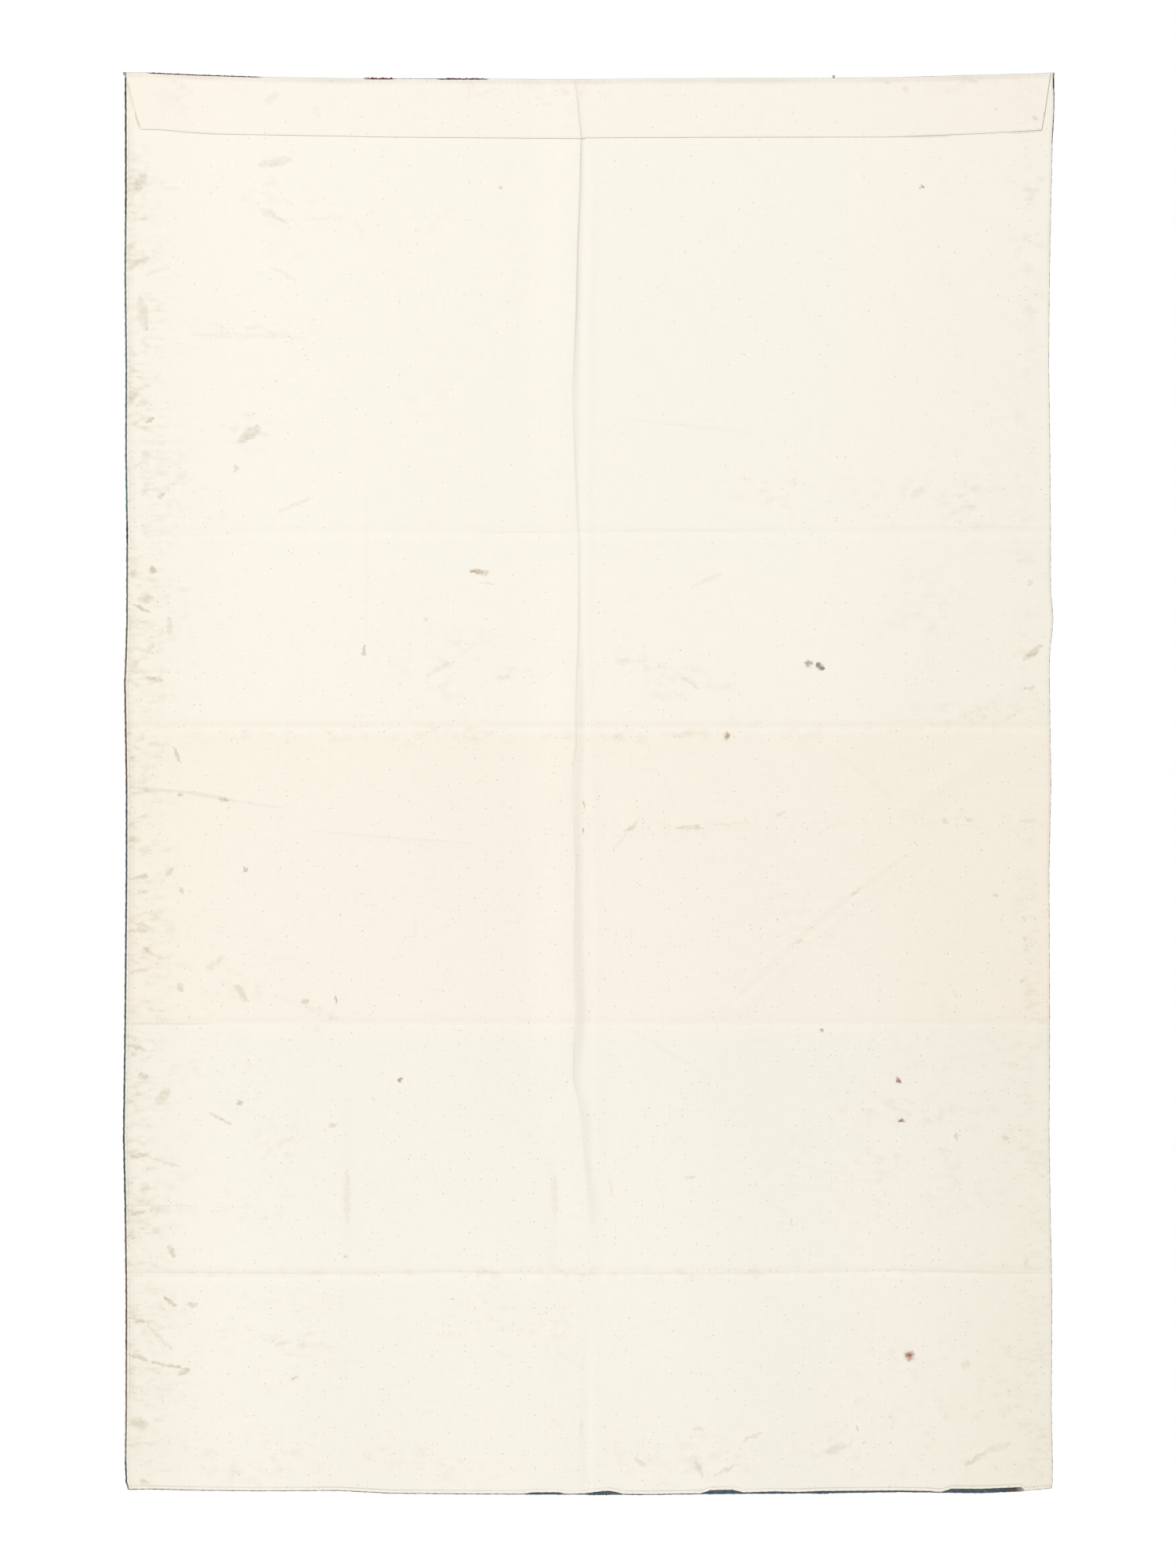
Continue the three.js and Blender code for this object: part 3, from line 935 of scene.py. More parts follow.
# Old streaks of dirt: their two ends and half thickness in pixels, and how dark.
STREAKS = table(
    "x_from y_from x_to y_to half dark",
    (330, 211, 371, 203, 5.5, 0.2),
    (332, 269, 352, 275, 5, 0.24),
    (350, 276, 368, 285, 2.5, 0.22),
    (388, 280, 440, 277, 3, 0.08),
    (345, 341, 380, 359, 2.5, 0.13),
    (306, 562, 332, 544, 6, 0.42),
    (300, 594, 302, 602, 3, 0.38),
    (171, 248, 186, 221, 6, 0.17),
    (209, 241, 229, 241, 2.5, 0.1),
    (178, 378, 186, 423, 6, 0.3),
    (187, 414, 187, 422, 3, 0.55),
    (187, 540, 196, 532, 2.5, 0.6),
    (172, 596, 190, 586, 3, 0.22),
    (240, 427, 392, 430, 3.0, 0.09),
    (355, 653, 401, 634, 2.2, 0.2),
    (202, 635, 209, 630, 3, 0.55),
    (225, 611, 239, 602, 4, 0.16),
    (176, 765, 194, 762, 5, 0.42),
    (170, 771, 191, 781, 2.2, 0.6),
    (217, 788, 216, 808, 3.5, 0.3),
    (189, 832, 196, 820, 3, 0.35),
    (184, 864, 208, 869, 2.5, 0.55),
    (222, 953, 229, 972, 2.5, 0.55),
    (228, 1013, 234, 1013, 2, 0.7),
    (279, 1018, 294, 1021, 1.8, 0.8),
    (176, 1118, 190, 1117, 2.5, 0.5),
    (211, 1118, 219, 1107, 3, 0.42),
    (176, 1138, 189, 1137, 2.5, 0.4),
    (230, 1132, 233, 1141, 2.5, 0.55),
    (164, 1188, 188, 1186, 3, 0.4),
    (184, 1207, 196, 1220, 2.5, 0.45),
    (194, 1218, 212, 1223, 2, 0.26),
    (264, 1236, 286, 1220, 4, 0.22),
    (165, 1240, 190, 1238, 2.5, 0.3),
    (228, 1257, 232, 1263, 4, 0.48),
    (300, 1257, 315, 1277, 4, 0.36),
    (384, 1279, 394, 1276, 2.8, 0.5),
    (164, 1334, 188, 1340, 2, 0.28),
    (176, 1372, 188, 1373, 4, 0.5),
    (200, 1408, 216, 1389, 6, 0.36),
    (266, 1419, 296, 1434, 2, 0.42),
    (420, 1436, 430, 1434, 2.5, 0.42),
    (164, 1475, 190, 1473, 3, 0.5),
    (188, 1476, 230, 1488, 2, 0.3),
    (443, 1492, 443, 1560, 4, 0.17),
    (168, 1549, 186, 1545, 2.5, 0.4),
    (214, 1589, 223, 1603, 3.5, 0.5),
    (441, 1602, 441, 1604, 2.5, 0.5),
    (209, 1655, 224, 1665, 3, 0.85),
    (238, 1663, 251, 1665, 3, 0.55),
    (164, 1679, 186, 1687, 2, 0.5),
    (186, 1688, 220, 1722, 2.4, 0.26),
    (164, 1727, 190, 1735, 2.2, 0.6),
    (192, 1737, 240, 1747, 2, 0.62),
    (229, 1753, 241, 1747, 3.5, 0.55),
    (353, 1714, 366, 1713, 3, 0.24),
    (372, 1760, 381, 1755, 1.1, 0.6),
    (168, 1813, 185, 1819, 7, 0.42),
    (178, 1888, 190, 1893, 3, 0.4),
    (1306, 842, 1329, 823, 4, 0.6),
    (1306, 878, 1320, 877, 2, 0.5),
    (1314, 740, 1314, 746, 3, 0.4),
    (1163, 634, 1177, 622, 5, 0.16),
    (1202, 1044, 1208, 1050, 3, 0.34),
    (1233, 1046, 1239, 1046, 2.5, 0.32),
    (1300, 1047, 1322, 1047, 3, 0.16),
    (1267, 1142, 1273, 1143, 2, 0.32),
    (1304, 1170, 1308, 1175, 2, 0.36),
    (1305, 1195, 1306, 1200, 2, 0.45),
    (1301, 1251, 1305, 1253, 2, 0.32),
    (1084, 1143, 1100, 1133, 1.8, 0.34),
    (1015, 1204, 1025, 1199, 1.4, 0.34),
    (1035, 1183, 1037, 1184, 1.3, 0.45),
    (1029, 1056, 1031, 1057, 1.5, 0.5),
    (1195, 1283, 1196, 1284, 1.4, 0.5),
    (1216, 1262, 1221, 1272, 3, 0.14),
    (1170, 1256, 1182, 1253, 2.4, 0.13),
    (1281, 1450, 1285, 1452, 3, 0.4),
    (1309, 1606, 1308, 1614, 3.5, 0.24),
    (1228, 1741, 1236, 1741, 5, 0.3),
    (1231, 1869, 1259, 1851, 3, 0.42),
    (1256, 1851, 1290, 1840, 4, 0.22),
    (1266, 1868, 1271, 1875, 1.5, 0.3),
    (880, 750, 921, 731, 2.6, 0.16),
    (610, 744, 631, 745, 1.5, 0.2),
    (545, 862, 575, 845, 3, 0.18),
    (866, 861, 892, 878, 3, 0.24),
    (862, 1056, 896, 1055, 3, 0.42),
    (905, 1053, 958, 1048, 2, 0.14),
    (989, 1041, 1001, 1035, 2, 0.3),
    (797, 1060, 813, 1050, 2, 0.4),
    (707, 1500, 708, 1552, 4, 0.16),
    (775, 1501, 784, 1530, 2, 0.18),
    (873, 1501, 887, 1500, 1.6, 0.4),
    (1008, 1553, 1010, 1564, 1.6, 0.4),
    (702, 1810, 716, 1817, 3, 0.1),
    (741, 1812, 742, 1830, 2, 0.2),
    (883, 1821, 898, 1823, 2, 0.26),
    (947, 1838, 972, 1826, 2.4, 0.3),
    (888, 1863, 895, 1885, 2.5, 0.32),
    (911, 1882, 943, 1867, 2.2, 0.34),
    (810, 1860, 824, 1872, 2.5, 0.36),
    (1054, 1853, 1078, 1843, 5, 0.26),
)
# Painted shade along pressed-in folds, soft folds and the tuck, and under the band's lower edge and left
# end, partly old dirt in them, with a few faint pencil strokes; written the same way.
FOLD_SHADE_AND_PENCIL_LINES = table(
    "x_from y_from x_to y_to half dark",
    (163, 1004, 235, 1010, 2.2, 0.3),
    (228, 1009, 300, 1021, 2.4, 0.34),
    (292, 1021, 365, 1031, 1.8, 0.18),
    (395, 1060, 605, 1076, 1.7, 0.12),
    (341, 1266, 453, 1308, 4.5, 0.07),
    (1157, 1090, 1083, 1144, 4.6, 0.12),
    (1091, 1136, 1017, 1198, 5.5, 0.13),
    (1027, 1191, 939, 1273, 5.5, 0.1),
    (1047, 944, 1140, 1020, 4.0, 0.06),
    (781, 1086, 818, 1039, 2.2, 0.15),
    (785, 533, 957, 552, 2.0, 0.08),
    (800, 1311, 908, 1374, 2.2, 0.08),
    (467, 640, 467, 830, 3.4, 0.05),
    (443, 1400, 443, 1620, 7.0, 0.05),
    (703, 1470, 703, 1620, 7.0, 0.05),
    (748, 1470, 756, 1560, 4.5, 0.1),
    (163, 1306, 270, 1306, 1.3, 0.28),
    (163, 1537, 245, 1538, 1.2, 0.2),
    (180, 683, 300, 682, 1.2, 0.08),
    (610, 679, 730, 678, 1.3, 0.13),
    (730, 677, 1000, 676, 1.2, 0.07),
    (1060, 673, 1346, 672, 1.3, 0.05),
    (163, 1623, 440, 1624, 1.6, 0.2),
    (163, 1628, 400, 1628, 1.3, 0.13),
    (400, 1625, 560, 1622, 1.6, 0.12),
    (540, 1621, 760, 1625, 1.6, 0.17),
    (740, 1624, 960, 1624, 1.5, 0.22),
    (940, 1624, 1150, 1620, 1.8, 0.13),
    (1130, 1620, 1335, 1624, 1.8, 0.24),
    (774, 1738, 788, 1712, 1.0, 0.1),
    (787, 1713, 800, 1698, 1.0, 0.12),
    (799, 1699, 818, 1689, 1.0, 0.12),
    (817, 1689, 845, 1686, 1.0, 0.1),
    (844, 1686, 857, 1699, 1.0, 0.1),
    (992, 1539, 1006, 1553, 1.2, 0.14),
    (161, 100, 173, 145, 1.6, 0.5),
    (172.6, 144, 179.8, 165, 2.0, 1.0),
    (1150, 175, 1215, 173.4, 1.4, 0.5),
    (1286, 169.8, 1326, 167.6, 1.4, 0.5),
)
SOIL_COLOUR = display(196, 180, 152)
STREAK_COLOUR = display(176, 156, 122)
SPECK_COLOUR = display(120, 104, 84)
# the colour of the painted shade lines along hems, edges and folds, partly dirt, and of the pencil strokes
SHADE_AND_MARK_LINE_COLOUR = display(150, 138, 118)
AGED_COLOUR = display(214, 196, 160)
# How the cotton's tone changes down the cloth: the pixel row and the colour on a screen.
COTTON_TONE = (
    (101, (249, 244, 232)),
    (700, (248, 243, 231)),
    (924, (247, 242, 229)),
    (929, (247, 240, 226)),
    (1300, (246, 238, 225)),
    (1310, (243, 239, 227)),
    (1620, (242, 238, 226)),
    (1900, (237, 233, 221)),
)
THREAD_PITCH = 0.7
SLUB_TONE = 0.015  # how much paler or darker the thick threads show
YELLOWING = 0.16
SOIL_STRENGTH = 0.8
CLOUDS = 0.06  # the faint dirt that lies all over
HANDLED_STRETCH = 1.7  # how much lower than the rest the smudges of the handled sides are
SPECKS_TO_THE_METRE = (38.0, 61.0, 97.0)  # the cells that may each hold a speck, three sizes
SPECK_STRENGTH = 0.45
# How often a cell holds a speck in clean cotton, above SPECKS_FROM and below SPECKS_TO, and how much
# more often where it is soiled.
SPECK_CHANCE = (0.06, 0.2)
SPECKS_FROM, SPECKS_TO = 900, 1500
SPECKS_IN_SOIL = 0.5
HEM_SHADE_FAINTEST = 0.35  # what is left of a painted hem shade line where the cloudy noise makes it faint


def cotton_material(name, tint, hem_shade_lines):
    """Off-white cotton with its weave, its tone down the cloth, yellowing, soil, specks and painted shade
    along its hems and edges, partly dirt.
    """
    material, tree, shader, coordinates = new_material(name, roughness=0.9, sheen=0.05)
    threads = placed(tree, plain_weave, {"Vector": coordinates, "Pitch": THREAD_PITCH * MM})
    down = down_share(tree, coordinates)
    colour = tones(tree, down, [(on_cloth(0, py)[1] / DROP, screen) for py, screen in COTTON_TONE])
    colour = lay_over(tree, 1.0, colour, tint, blend="MULTIPLY")
    slubs_tone = ramp_up(tree, threads["Shade"], 0.7, 1.3, 1 - SLUB_TONE, 1 + SLUB_TONE)
    colour = scaled(tree, colour, slubs_tone)
    colour = lay_over(tree, times(tree, attribute(tree, "aged"), YELLOWING), colour, AGED_COLOUR)
    soil = attribute(tree, "soil")
    cloudy = noise(tree, coordinates, (5, 5, 5), detail=3)
    amount = plus(tree, times(tree, soil, SOIL_STRENGTH), ramp_up(tree, cloudy, 0.4, 0.75, 0.0, CLOUDS))
    dirt = placed(tree, blotches, {"Vector": coordinates, "Amount": amount})[0]
    colour = lay_over(tree, dirt, colour, SOIL_COLOUR)
    lower = stretch(tree, coordinates, 1.0, 1.0, HANDLED_STRETCH)
    handled = placed(tree, blotches, {"Vector": lower, "Amount": attribute(tree, "handled")})[0]
    colour = lay_over(tree, handled, colour, STREAK_COLOUR)
    clean_chance = ramp_up(tree, down, SPECKS_FROM / DROP, SPECKS_TO / DROP, *SPECK_CHANCE)
    chance = plus(tree, times(tree, soil, SPECKS_IN_SOIL), clean_chance)
    for to_the_metre in SPECKS_TO_THE_METRE:
        cells = {"Vector": coordinates, "To the Metre": to_the_metre, "Chance": chance}
        specks = times(tree, placed(tree, flecks, cells)[0], SPECK_STRENGTH)
        colour = lay_over(tree, specks, colour, SPECK_COLOUR)
    # painted shade along the hems and edges, partly dirt, made patchy by the cloudy noise
    for edge, at, half, strength in hem_shade_lines:
        line = placed(tree, edge_line, {"Distance": attribute(tree, edge), "At": at, "Half": half})[0]
        patchy = ramp_up(tree, cloudy, 0.35, 0.65, HEM_SHADE_FAINTEST * strength, strength)
        colour = lay_over(tree, times(tree, line, patchy), colour, SHADE_AND_MARK_LINE_COLOUR)
    return material, tree, shader, coordinates, colour, threads["Height"]


# The hem lines, painted shade along the cloth's hems and edges, partly dirt in their creases: which edge,
# how far in, how wide each way (millimetres), and how dark.
LINING_HEM_SHADE_LINES = (
    ("from_left", 4.8, 1.6, 0.24),
    ("from_left", 9.0, 9.0, 0.08),
    ("from_foot", 6.0, 1.6, 0.35),
    ("from_top", 3.0, 8.0, 0.12),
    ("from_right", 2.0, 5.0, 0.10),
    ("from_left", 0.0, 1.2, 0.3),
    ("from_right", 0.0, 1.0, 0.12),
    ("from_foot", 0.0, 1.2, 0.3),
)
LINING_TINT = (1.0, 1.0, 1.0, 1.0)
lining_cotton, tree, shader, coordinates, colour, weave_height = cotton_material(
    "lining cotton", LINING_TINT, LINING_HEM_SHADE_LINES
)


def strayed(tree, coordinates, reach):
    """The cloth's coordinates moved a little here and there, so that marks get uneven shapes."""
    drift = noise(tree, coordinates, (110, 110, 110), output="Color")
    drift = scaled(tree, vector_maths(tree, "SUBTRACT", drift, (0.5, 0.5, 0.5)), reach)
    return stretch(tree, vector_maths(tree, "ADD", coordinates, drift), 1, 0, 1)


SPOT_EDGE = 1.5  # a spot ends at this many of its half thicknesses
SPOT_CORE = 0.2  # and is at its darkest within this many


def spot_mask_at(tree, vector, x_from, y_from, x_to, y_to, half, dark, before=0.0):
    """A spot's mask, from its two ends and half thickness in pixels."""
    ends = [on_cloth(x_from, y_from), on_cloth(x_to, y_to)]
    run = math.dist(*ends)
    inputs = {
        "Vector": vector,
        "One End": (ends[0][0] * MM, 0, -ends[0][1] * MM),
        "Other End": (ends[1][0] * MM, 0, -ends[1][1] * MM),
        "Outer": math.hypot(run, 2 * SPOT_EDGE * half * PIXEL) * MM,
        "Inner": math.hypot(run, 2 * SPOT_CORE * half * PIXEL) * MM,
        "Dark": dark,
        "Before": before,
    }
    return placed(tree, spot, inputs)[0]


def streaks_mask(tree, vector, rows):
    """One mask of all the lines in a table, streaks of dirt and painted fold shade alike."""
    mask = 0.0
    for row in rows_of(rows):
        mask = spot_mask_at(tree, vector, *row, mask)
    return mask


def fray(tree, coordinates):
    """How patchily a mark shows here and there, 0.5 to 1: for stains and streaks, how much of them the
    fibres took up; it also makes the painted fold shade patchy.
    """
    fibres = noise(tree, coordinates, (100, 100, 140), detail=4)
    return ramp_up(tree, fibres, 0.36, 0.62, 0.5, 1.0)


STREAK_STRENGTH = 0.8
FOLD_SHADE_STRENGTH = (0.2, 0.42)  # the painted fold shade's strength where the fray noise is lowest and highest
STAIN_STRENGTH = (0.6, 1.0)
FOLD_STRAY = 2.0  # the width within which the parts of a fold line stray
MARK_STRAY = 14.0  # the same for a stain or a streak


def streaked(tree, colour, marked_place, frayed, rows):
    """A cloth's colour with the streaks in a table on it."""
    streak_mask = times(tree, streaks_mask(tree, marked_place, rows), STREAK_STRENGTH)
    return lay_over(tree, times(tree, streak_mask, frayed), colour, STREAK_COLOUR)


def finish_cotton(tree, shader, colour, weave_height):
    """Feeds a cotton's colour and the height of its weave to its shader."""
    tree.links.new(colour, shader.inputs["Base Color"])
    raise_surface(tree, shader, weave_height, strength=0.35, distance=0.2 * MM)


frayed = fray(tree, coordinates)
# painted shade along the folds, the tuck and under the band's edge, partly dirt, with a few pencil strokes
fold_shade_mask = streaks_mask(tree, strayed(tree, coordinates, FOLD_STRAY * MM), FOLD_SHADE_AND_PENCIL_LINES)
fold_shade_strength = ramp_up(tree, frayed, 0, 1, *FOLD_SHADE_STRENGTH)
colour = lay_over(tree, times(tree, fold_shade_mask, fold_shade_strength), colour, SHADE_AND_MARK_LINE_COLOUR)
marked_place = strayed(tree, coordinates, MARK_STRAY * MM)
colour = streaked(tree, colour, marked_place, frayed, STREAKS)
stain_strength = ramp_up(tree, frayed, 0, 1, *STAIN_STRENGTH)
for *place, stain_colour, strength in STAINS:
    stain_mask = spot_mask_at(tree, marked_place, *place, strength)
    colour = lay_over(tree, times(tree, stain_mask, stain_strength), colour, stain_colour)
finish_cotton(tree, shader, colour, weave_height)

lining_cloth.data.materials.append(lining_cotton)
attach(lining_cloth, "root")
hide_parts("lining")

# The heading band
# A strip of the same cotton, a little pinker, sewn flat along the top of the lining over the tuck.
# Its lower edge is turned in and felled down, and its ends slant.

BAND_DROP = 112.0
BAND_INSET_TOP = 2.4
BAND_FRONT = LINING_BACK + LAYER_GAP
# Where the band's lower edge lies, by the place across.
BAND_FOOT = table(
    "across down",
    (-854, 96.5),
    (-720, 105.0),
    (-375, 111.0),
    (-17, 114.0),
    (-9, 112.5),
    (225, 111.5),
    (575, 110.8),
    (735, 105.0),
    (867, 98.5),
)
# Where the band's slanting ends lie, by the distance down.
BAND_ENDS = table("down left right", (-12, -882.5, 884.5), (66, -864.5, 873), (98, -854, 867))
BAND_ROWS = filled([0, 1.6, 3.4, 6, 16, 30, 96, 104, 108.5, 110.4, BAND_DROP], longest=9)
BAND_SLANT = 150.0  # how far in the band's columns feel its slanting ends
BAND_PULLED = {"top": 0.6, "foot": 0.3}  # how far the stitches draw its edges in


def place_band(across, down):
    """The same for the band, whose ends slant and whose columns follow the tuck."""
    from_left, from_right = across + HALF_WIDTH, HALF_WIDTH - across
    rise = read(ENDS, across, "rise") - BAND_INSET_TOP
    rise = rise - (down == 0) * pulled(from_left, BAND_PULLED["top"])
    foot = read(BAND_FOOT, across, "down")
    foot = foot - (down == BAND_DROP) * pulled(from_left, BAND_PULLED["foot"])
    share = down / BAND_DROP
    z_down = -rise * (1 - share) + foot * share
    left = read(BAND_ENDS, z_down, "left") + HALF_WIDTH
    right = read(BAND_ENDS, z_down, "right") - HALF_WIDTH
    x = (
        across
        + (1 - smooth(0, BAND_SLANT, from_left)) * left
        + (1 - smooth(0, BAND_SLANT, from_right)) * right
        + tuck_shift(across, z_down)
    )
    return x, z_down


def band_marks(across, down):
    """The cotton's marks, with the band's own lower edge as the foot."""
    marks = cotton_marks(across, down)
    marks["from_foot"] = BAND_DROP - down
    return marks


BAND_COLUMNS = filled(
    [*(RIM_STEPS - HALF_WIDTH), *(HALF_WIDTH - RIM_STEPS), *(TUCK_MIDDLE + TUCK_STEPS)], longest=17
)
heading_band = hang_cloth(
    "heading_band_cloth",
    BAND_COLUMNS,
    BAND_ROWS,
    place=place_band,
    face=lambda x, down: hang(x, down) - tuck(x, down) - BAND_FRONT,
    thick=COTTON_THICK,
    rim_cuts=3,
    marks=band_marks,
)

# The band's hem lines, painted shade along its top hem, its lower edge and its left end, partly dirt,
# written as the lining's are.
BAND_HEM_SHADE_LINES = (
    ("from_top", 3.0, 8.0, 0.17),
    ("from_foot", 0.0, 1.2, 0.2),
    ("from_left", 0.0, 1.2, 0.2),
    ("from_foot", 3.0, 2.5, 0.05),
)
BAND_TINT = (1.0, 0.985, 0.982, 1.0)
# Soft smudges on the band and dark spots near its right end, written as the lining's streaks are.
BAND_STREAKS = table(
    "x_from y_from x_to y_to half dark",
    (340, 130, 355, 121, 6, 0.13),
    (402, 137, 406, 148, 5, 0.1),
    (205, 118, 232, 140, 12, 0.05),
    (1130, 106, 1135, 106, 1.6, 0.4),
    (1150, 113, 1158, 114, 2, 0.22),
    (1236, 104, 1247, 103.5, 1.8, 0.3),
    (1269, 139, 1271, 140, 1.4, 0.4),
    (1318, 149, 1321, 152, 2.8, 0.5),
    (1329, 144, 1331, 149, 1.8, 0.3),
    (1321, 166, 1327, 165.5, 1.6, 0.45),
)
band_cotton, tree, shader, coordinates, colour, weave_height = cotton_material(
    "heading band cotton", BAND_TINT, BAND_HEM_SHADE_LINES
)
marked_place = strayed(tree, coordinates, MARK_STRAY * MM)
colour = streaked(tree, colour, marked_place, fray(tree, coordinates), BAND_STREAKS)
finish_cotton(tree, shader, colour, weave_height)

heading_band.data.materials.append(band_cotton)
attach(heading_band, "root")
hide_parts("heading_band")

# The slip stitches
# Pale sewing thread that fells the lining's turned-in edge, and the band's top, down to the wool:
# a short slanting stitch every 13 mm or so, where the edge is drawn in.


def thread_piece(name, paths, radius, material):
    """One mesh of many short threads, each a round tube along its own points in millimetres."""
    curve = bpy.data.curves.new(name, "CURVE")
    curve.dimensions = "3D"
    curve.bevel_depth = radius * MM
    curve.bevel_resolution = 1
    curve.use_fill_caps = True
    curve.resolution_u = 2
    for path in paths:
        spline = curve.splines.new("NURBS")
        spline.points.add(len(path) - 1)
        spline.points.foreach_set("co", np.column_stack([np.array(path) * MM, np.ones(len(path))]).ravel())
        spline.order_u = 3
        spline.use_endpoint_u = True
    piece = bpy.data.objects.new(name, curve)
    bpy.context.collection.objects.link(piece)
    bpy.ops.object.select_all(action="DESELECT")
    piece.select_set(True)
    bpy.context.view_layer.objects.active = piece
    bpy.ops.object.convert(target="MESH")
    bpy.ops.object.shade_smooth()
    piece = bpy.context.object
    piece.data.materials.clear()
    piece.data.materials.append(material)
    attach(piece, "root")
    return piece


PLY_SLANT = (0.5, 0.6, 0.7)  # radians about each axis, so that the plies lie square to none
PLY_SHADE = 0.25  # painted shade: how much lighter a ply is than the shaded furrow beside it


def yarn_material(name, screen, to_the_metre):
    """A twisted yarn: fine slanting plies, with painted shade in the furrows between them, and a little
    unevenness of dye.
    """
    material, tree, shader, coordinates = new_material(name, roughness=0.85, sheen=0.2)
    turned = add(tree, "ShaderNodeMapping", {"Vector": coordinates, "Rotation": PLY_SLANT}).outputs[0]
    waves = {"Vector": turned, "Scale": to_the_metre, "Distortion": 1.5}
    plies = add(tree, "ShaderNodeTexWave", waves).outputs["Fac"]
    dyed = ramp_up(tree, noise(tree, coordinates, (300, 300, 300)), 0.3, 0.7, 0.7, 1.0)
    # painted shade: the furrows between the plies darker than the plies
    light = plus(tree, times(tree, plies, PLY_SHADE), dyed)
    tree.links.new(scaled(tree, display(*screen)[:3], light), shader.inputs["Base Color"])
    raise_surface(tree, shader, plies, strength=0.6, distance=0.15 * MM)
    return material


STITCH_MARGIN = 6.0  # there is no stitch this near to a corner
# A stitch, step by step: how far in from the edge, how far along it, and how far towards +Y.
STITCH_STEPS = (
    (2.0, -0.7, 0.2),
    (1.5, -0.5, -0.2),
    (0.3, 0.0, -0.25),
    (-0.35, 0.35, 0.5),
    (-0.7, 0.6, 1.3),
)


def stitch_runs(length):
    """The places along an edge where the stitches lie."""
    along = np.arange(0, length, 0.5)
    counts = stitches_before(along)
    whole = np.arange(math.ceil(counts[0]), math.floor(counts[-1]))
    runs = np.interp(whole, counts, along)
    return runs[(runs > STITCH_MARGIN) & (runs < length - STITCH_MARGIN)]


def stitch(x, down, inward, along, surface):
    """A stitch at an edge point: out of the cotton just inside it, over the edge, into the wool."""
    path = []
    for depth, side, lift in STITCH_STEPS:
        across = x + inward[0] * depth + along[0] * side
        z_down = down + inward[1] * depth + along[1] * side
        path.append((across, surface + lift, -z_down))
    return path


def point_at(place, across, down):
    """Where one point of a flat cloth hangs: its place across and its distance down."""
    return (float(v[0]) for v in place(np.array([across]), np.array([down])))


def lining_surface(x, down):
    """How far the lining's outer face stands towards -Y."""
    return float(hang(x, down) - tuck(x, down) - soft_folds(np.array([x]), down)[0] - LINING_BACK)


STITCH_RADIUS = 0.22
stitch_paths = []
for run in stitch_runs(DROP):
    for edge, inward in ((-HALF_WIDTH, (1, 0)), (HALF_WIDTH, (-1, 0))):
        x, down = point_at(place_lining, edge, run)
        stitch_paths.append(stitch(x, down, inward, (0, 1), lining_surface(x, down)))
for run in stitch_runs(2 * HALF_WIDTH):
    x, down = point_at(place_lining, run - HALF_WIDTH, DROP)
    stitch_paths.append(stitch(x, down, (0, -1), (1, 0), lining_surface(x, down)))
    x, down = point_at(place_band, run - HALF_WIDTH, 0.0)
    band_surface = lining_surface(x, down) - LAYER_GAP - COTTON_THICK
    stitch_paths.append(stitch(x, down, (0, 1), (1, 0), band_surface))
sewing_thread = yarn_material("pale sewing thread", (222, 215, 200), 900)
slip_stitches = thread_piece("slip_stitches", stitch_paths, STITCH_RADIUS, sewing_thread)

# The weft tufts
# Ends and loops of the wool weft that stand out past the rim: dark red ones along the top and
# slate blue ones along the foot, where the panel was cut from its loom.

TOP_TUFTS = table(
    "start end stands count",
    (-838, -800, 0.8, 10),
    (-800, -628, 1.0, 46),
    (-428, -376, 2.6, 34),
    (-372, -300, 0.7, 16),
    (-284, -196, 1.4, 44),
    (630, 662, 0.6, 8),
)
FOOT_TUFTS = table(
    "start end stands count",
    (-126, -78, 0.8, 14),
    (-12, 34, 1.8, 26),
    (230, 284, 1.0, 22),
    (340, 372, 0.8, 10),
    (434, 462, 1.0, 12),
    (690, 829, 0.7, 44),
)
TUFT_RADIUS = 0.55
TUFT_LENGTH = (3, 8)
TUFT_STANDS = (0.2, 1.0)  # how much of the height in its row a loop reaches
TUFT_DEPTH = (-1.0, 0.8)  # where in the wool's thickness it comes out
TUFT_TWIST = 0.4  # how far its top turns to either side of that
TUFT_ROOT = 1.2  # how deep inside the edge its two ends lie
scatter = np.random.default_rng(17)


def tuft_paths(rows, edge_down, outward):
    """Loops of weft along a stretch of an edge. outward is -1 at the top and 1 at the foot."""
    paths = []
    for start, end, stands, count in rows_of(rows):
        for _ in range(int(count)):
            x = scatter.uniform(start, end)
            length = scatter.uniform(*TUFT_LENGTH)
            high = stands * scatter.uniform(*TUFT_STANDS)
            y = scatter.uniform(*TUFT_DEPTH)
            down = float(edge_down(x))
            base = down - outward * TUFT_ROOT
            top = down + outward * (high - TUFT_RADIUS)
            paths.append(
                [
                    (x, y, -base),
                    (x + length * 0.2, y + scatter.uniform(-TUFT_TWIST, TUFT_TWIST), -top),
                    (x + length * 0.7, y + scatter.uniform(-TUFT_TWIST, TUFT_TWIST), -top),
                    (x + length, y, -base),
                ]
            )
    return paths


red_yarn = yarn_material("dark red weft yarn", (98, 44, 48), 500)
blue_yarn = yarn_material("slate blue weft yarn", (72, 92, 104), 500)
red_tufts = thread_piece(
    "red_weft_tufts",
    tuft_paths(TOP_TUFTS, lambda x: -read(ENDS, x, "rise"), -1),
    TUFT_RADIUS,
    red_yarn,
)
blue_tufts = thread_piece(
    "blue_weft_tufts",
    tuft_paths(FOOT_TUFTS, lambda x: DROP + read(ENDS, x, "sag"), 1),
    TUFT_RADIUS,
    blue_yarn,
)

# The thread knots
# Two small knots of grey thread, at the top left corner and on the top edge, where the hanging
# threads were finished off.

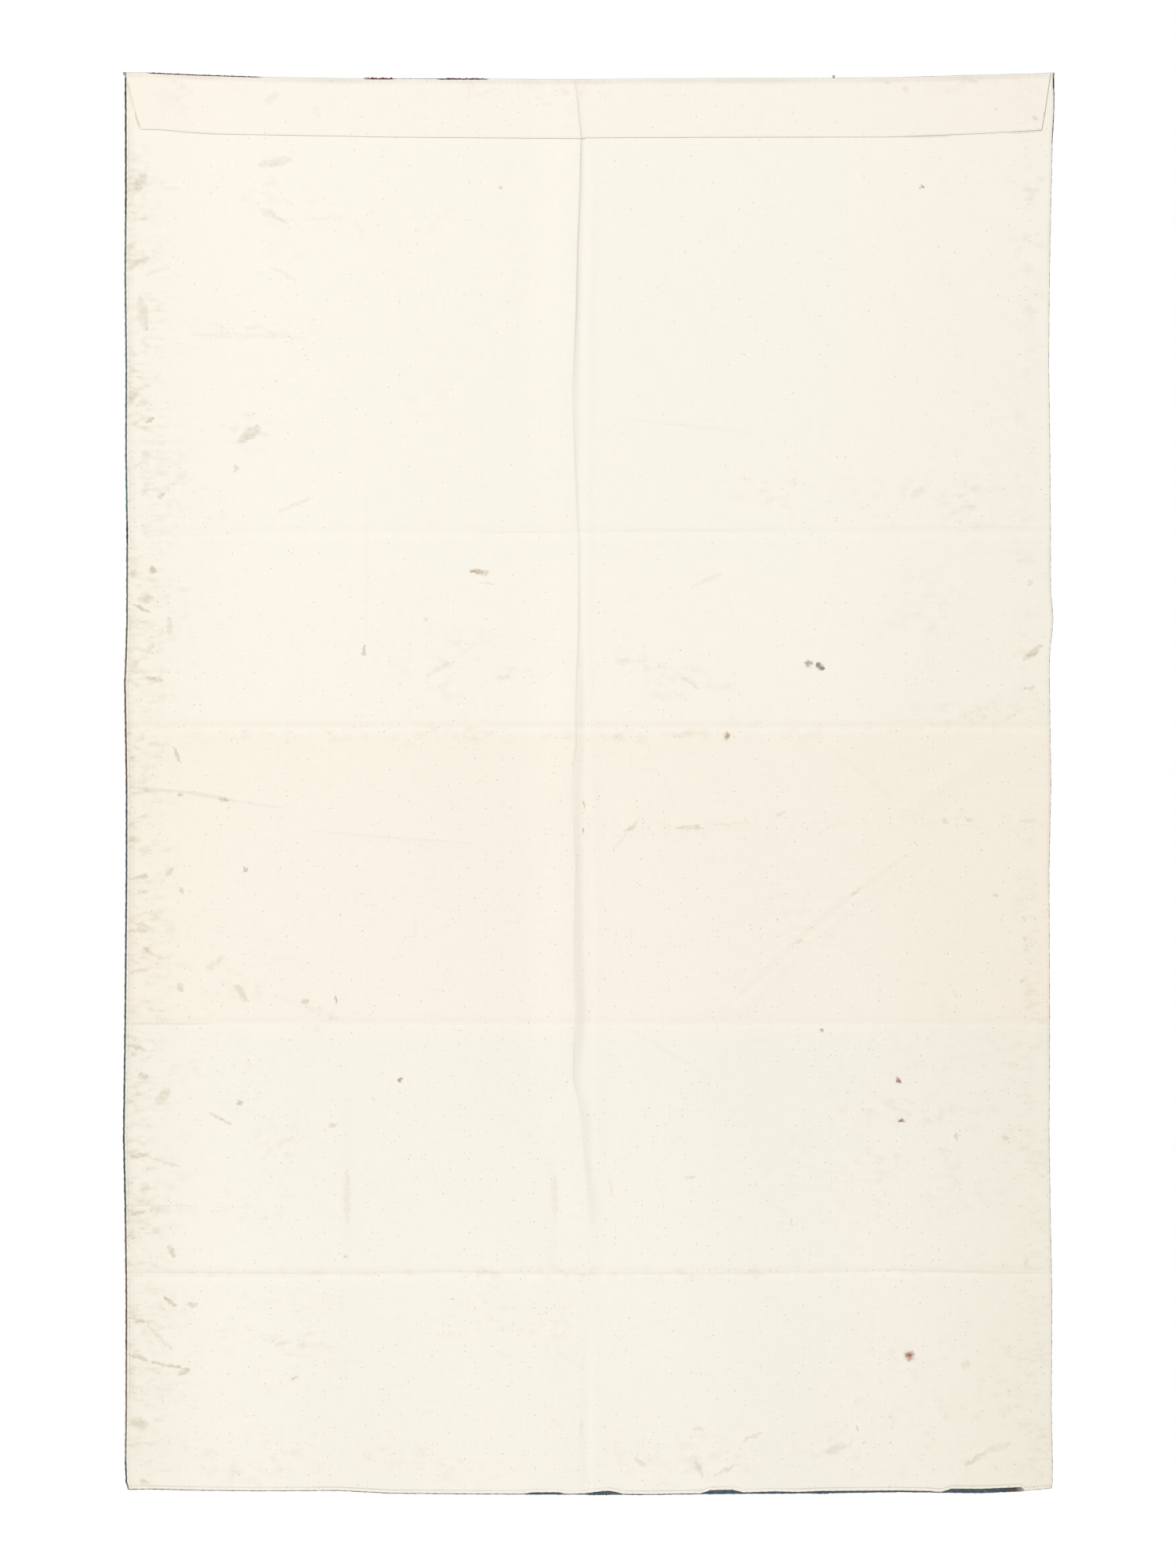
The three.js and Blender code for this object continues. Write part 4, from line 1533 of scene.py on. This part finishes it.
KNOTS = table("px py turn", (158.5, 93.5, 0.4), (1063.5, 97.5, 2.1))
KNOT_SIZE = 0.85
KNOT_RADIUS = 0.55
KNOT_OPEN = 0.35  # radians of its round that are left open at each end
KNOT_POINTS = 22
KNOT_FRONT = 0.4  # how far it lies in front of the middle of the edge
# Where its two ends lie from its middle: across, towards +Y and up.
KNOT_ENDS = ((-2.2, -0.2, -4.0), (2.6, 0.2, -3.6))


def knot_path(x, down, turn):
    """One overhand knot with its two short ends."""
    loops = []
    for t in np.linspace(KNOT_OPEN, 2 * math.pi - KNOT_OPEN, KNOT_POINTS):
        side = math.sin(t) + 2 * math.sin(2 * t)
        up = math.cos(t) - 2 * math.cos(2 * t)
        loops.append(
            (
                x + KNOT_SIZE * (side * math.cos(turn) - up * math.sin(turn)),
                -KNOT_FRONT - KNOT_SIZE * math.sin(3 * t),
                -down + KNOT_SIZE * (side * math.sin(turn) + up * math.cos(turn)),
            )
        )
    start, end = ((x + side, y, up - down) for side, y, up in KNOT_ENDS)
    return [start, *loops, end]


knot_thread = yarn_material("grey knot thread", (150, 146, 140), 700)
thread_knots = thread_piece(
    "thread_knots",
    [knot_path(*on_cloth(px, py), turn) for px, py, turn in rows_of(KNOTS)],
    KNOT_RADIUS,
    knot_thread,
)

# The studio
# A plain pale floor below the hanging, white surroundings, one large soft key light high at the
# left and a weaker one behind. The camera looks straight at the middle of the lined back.

FLOOR_DROP = 3.1
FLOOR_RADIUS = 1.9
FLOOR_SIDES = 96
bpy.ops.object.select_all(action="DESELECT")
bpy.ops.mesh.primitive_circle_add(
    vertices=FLOOR_SIDES, radius=FLOOR_RADIUS, fill_type="NGON", location=(0, 0, -FLOOR_DROP)
)
floor = bpy.context.object
floor.name = "floor"
floor_paint, tree, shader, coordinates = new_material("pale floor", roughness=0.7)
floor_tone = ramp_up(tree, noise(tree, coordinates, (3, 3, 3), detail=4), 0.2, 0.8, 0.80, 0.84)
tree.links.new(floor_tone, shader.inputs["Base Color"])
floor.data.materials.append(floor_paint)

studio = bpy.data.worlds.new("white studio")
studio.use_nodes = True
bpy.context.scene.world = studio
background = studio.node_tree.nodes["Background"]
background.inputs["Color"].default_value = (1, 1, 1, 1)
seen = add(studio.node_tree, "ShaderNodeLightPath").outputs["Is Camera Ray"]
FILL = 0.5  # how strongly the white surroundings light the cloth
studio.node_tree.links.new(ramp_up(studio.node_tree, seen, 0, 1, FILL, 1.0), background.inputs["Strength"])

MIDDLE = (0, 0, -1.3485)  # of the cloth


def soft_light(name, place, side, power):
    """A square area light that faces the middle of the cloth."""
    lamp = bpy.data.lights.new(name, "AREA")
    lamp.size = side
    lamp.energy = power
    light = bpy.data.objects.new(name, lamp)
    bpy.context.collection.objects.link(light)
    light.location = place
    towards = np.array(MIDDLE) - np.array(place)
    flat = math.hypot(towards[0], towards[1])
    light.rotation_euler = (math.atan2(flat, -towards[2]), 0, math.atan2(-towards[0], towards[1]))


soft_light("key light", (-21.0, -22.0, 11.35), side=7.0, power=8000)
soft_light("back light", (10.0, 22.0, 6.0), side=8.0, power=3000)

FRAME_HEIGHT = 3.0  # metres of the picture's height at the cloth
CAMERA_AWAY = 12.0
lens = bpy.data.cameras.new("camera")
lens.sensor_width = 36
lens.lens = lens.sensor_width * CAMERA_AWAY / FRAME_HEIGHT
camera = bpy.data.objects.new("camera", lens)
bpy.context.collection.objects.link(camera)
camera.location = (MIDDLE[0], -CAMERA_AWAY, MIDDLE[2])
camera.rotation_euler = (math.radians(90), 0, 0)
bpy.context.scene.camera = camera
bpy.context.scene.view_settings.view_transform = "Standard"
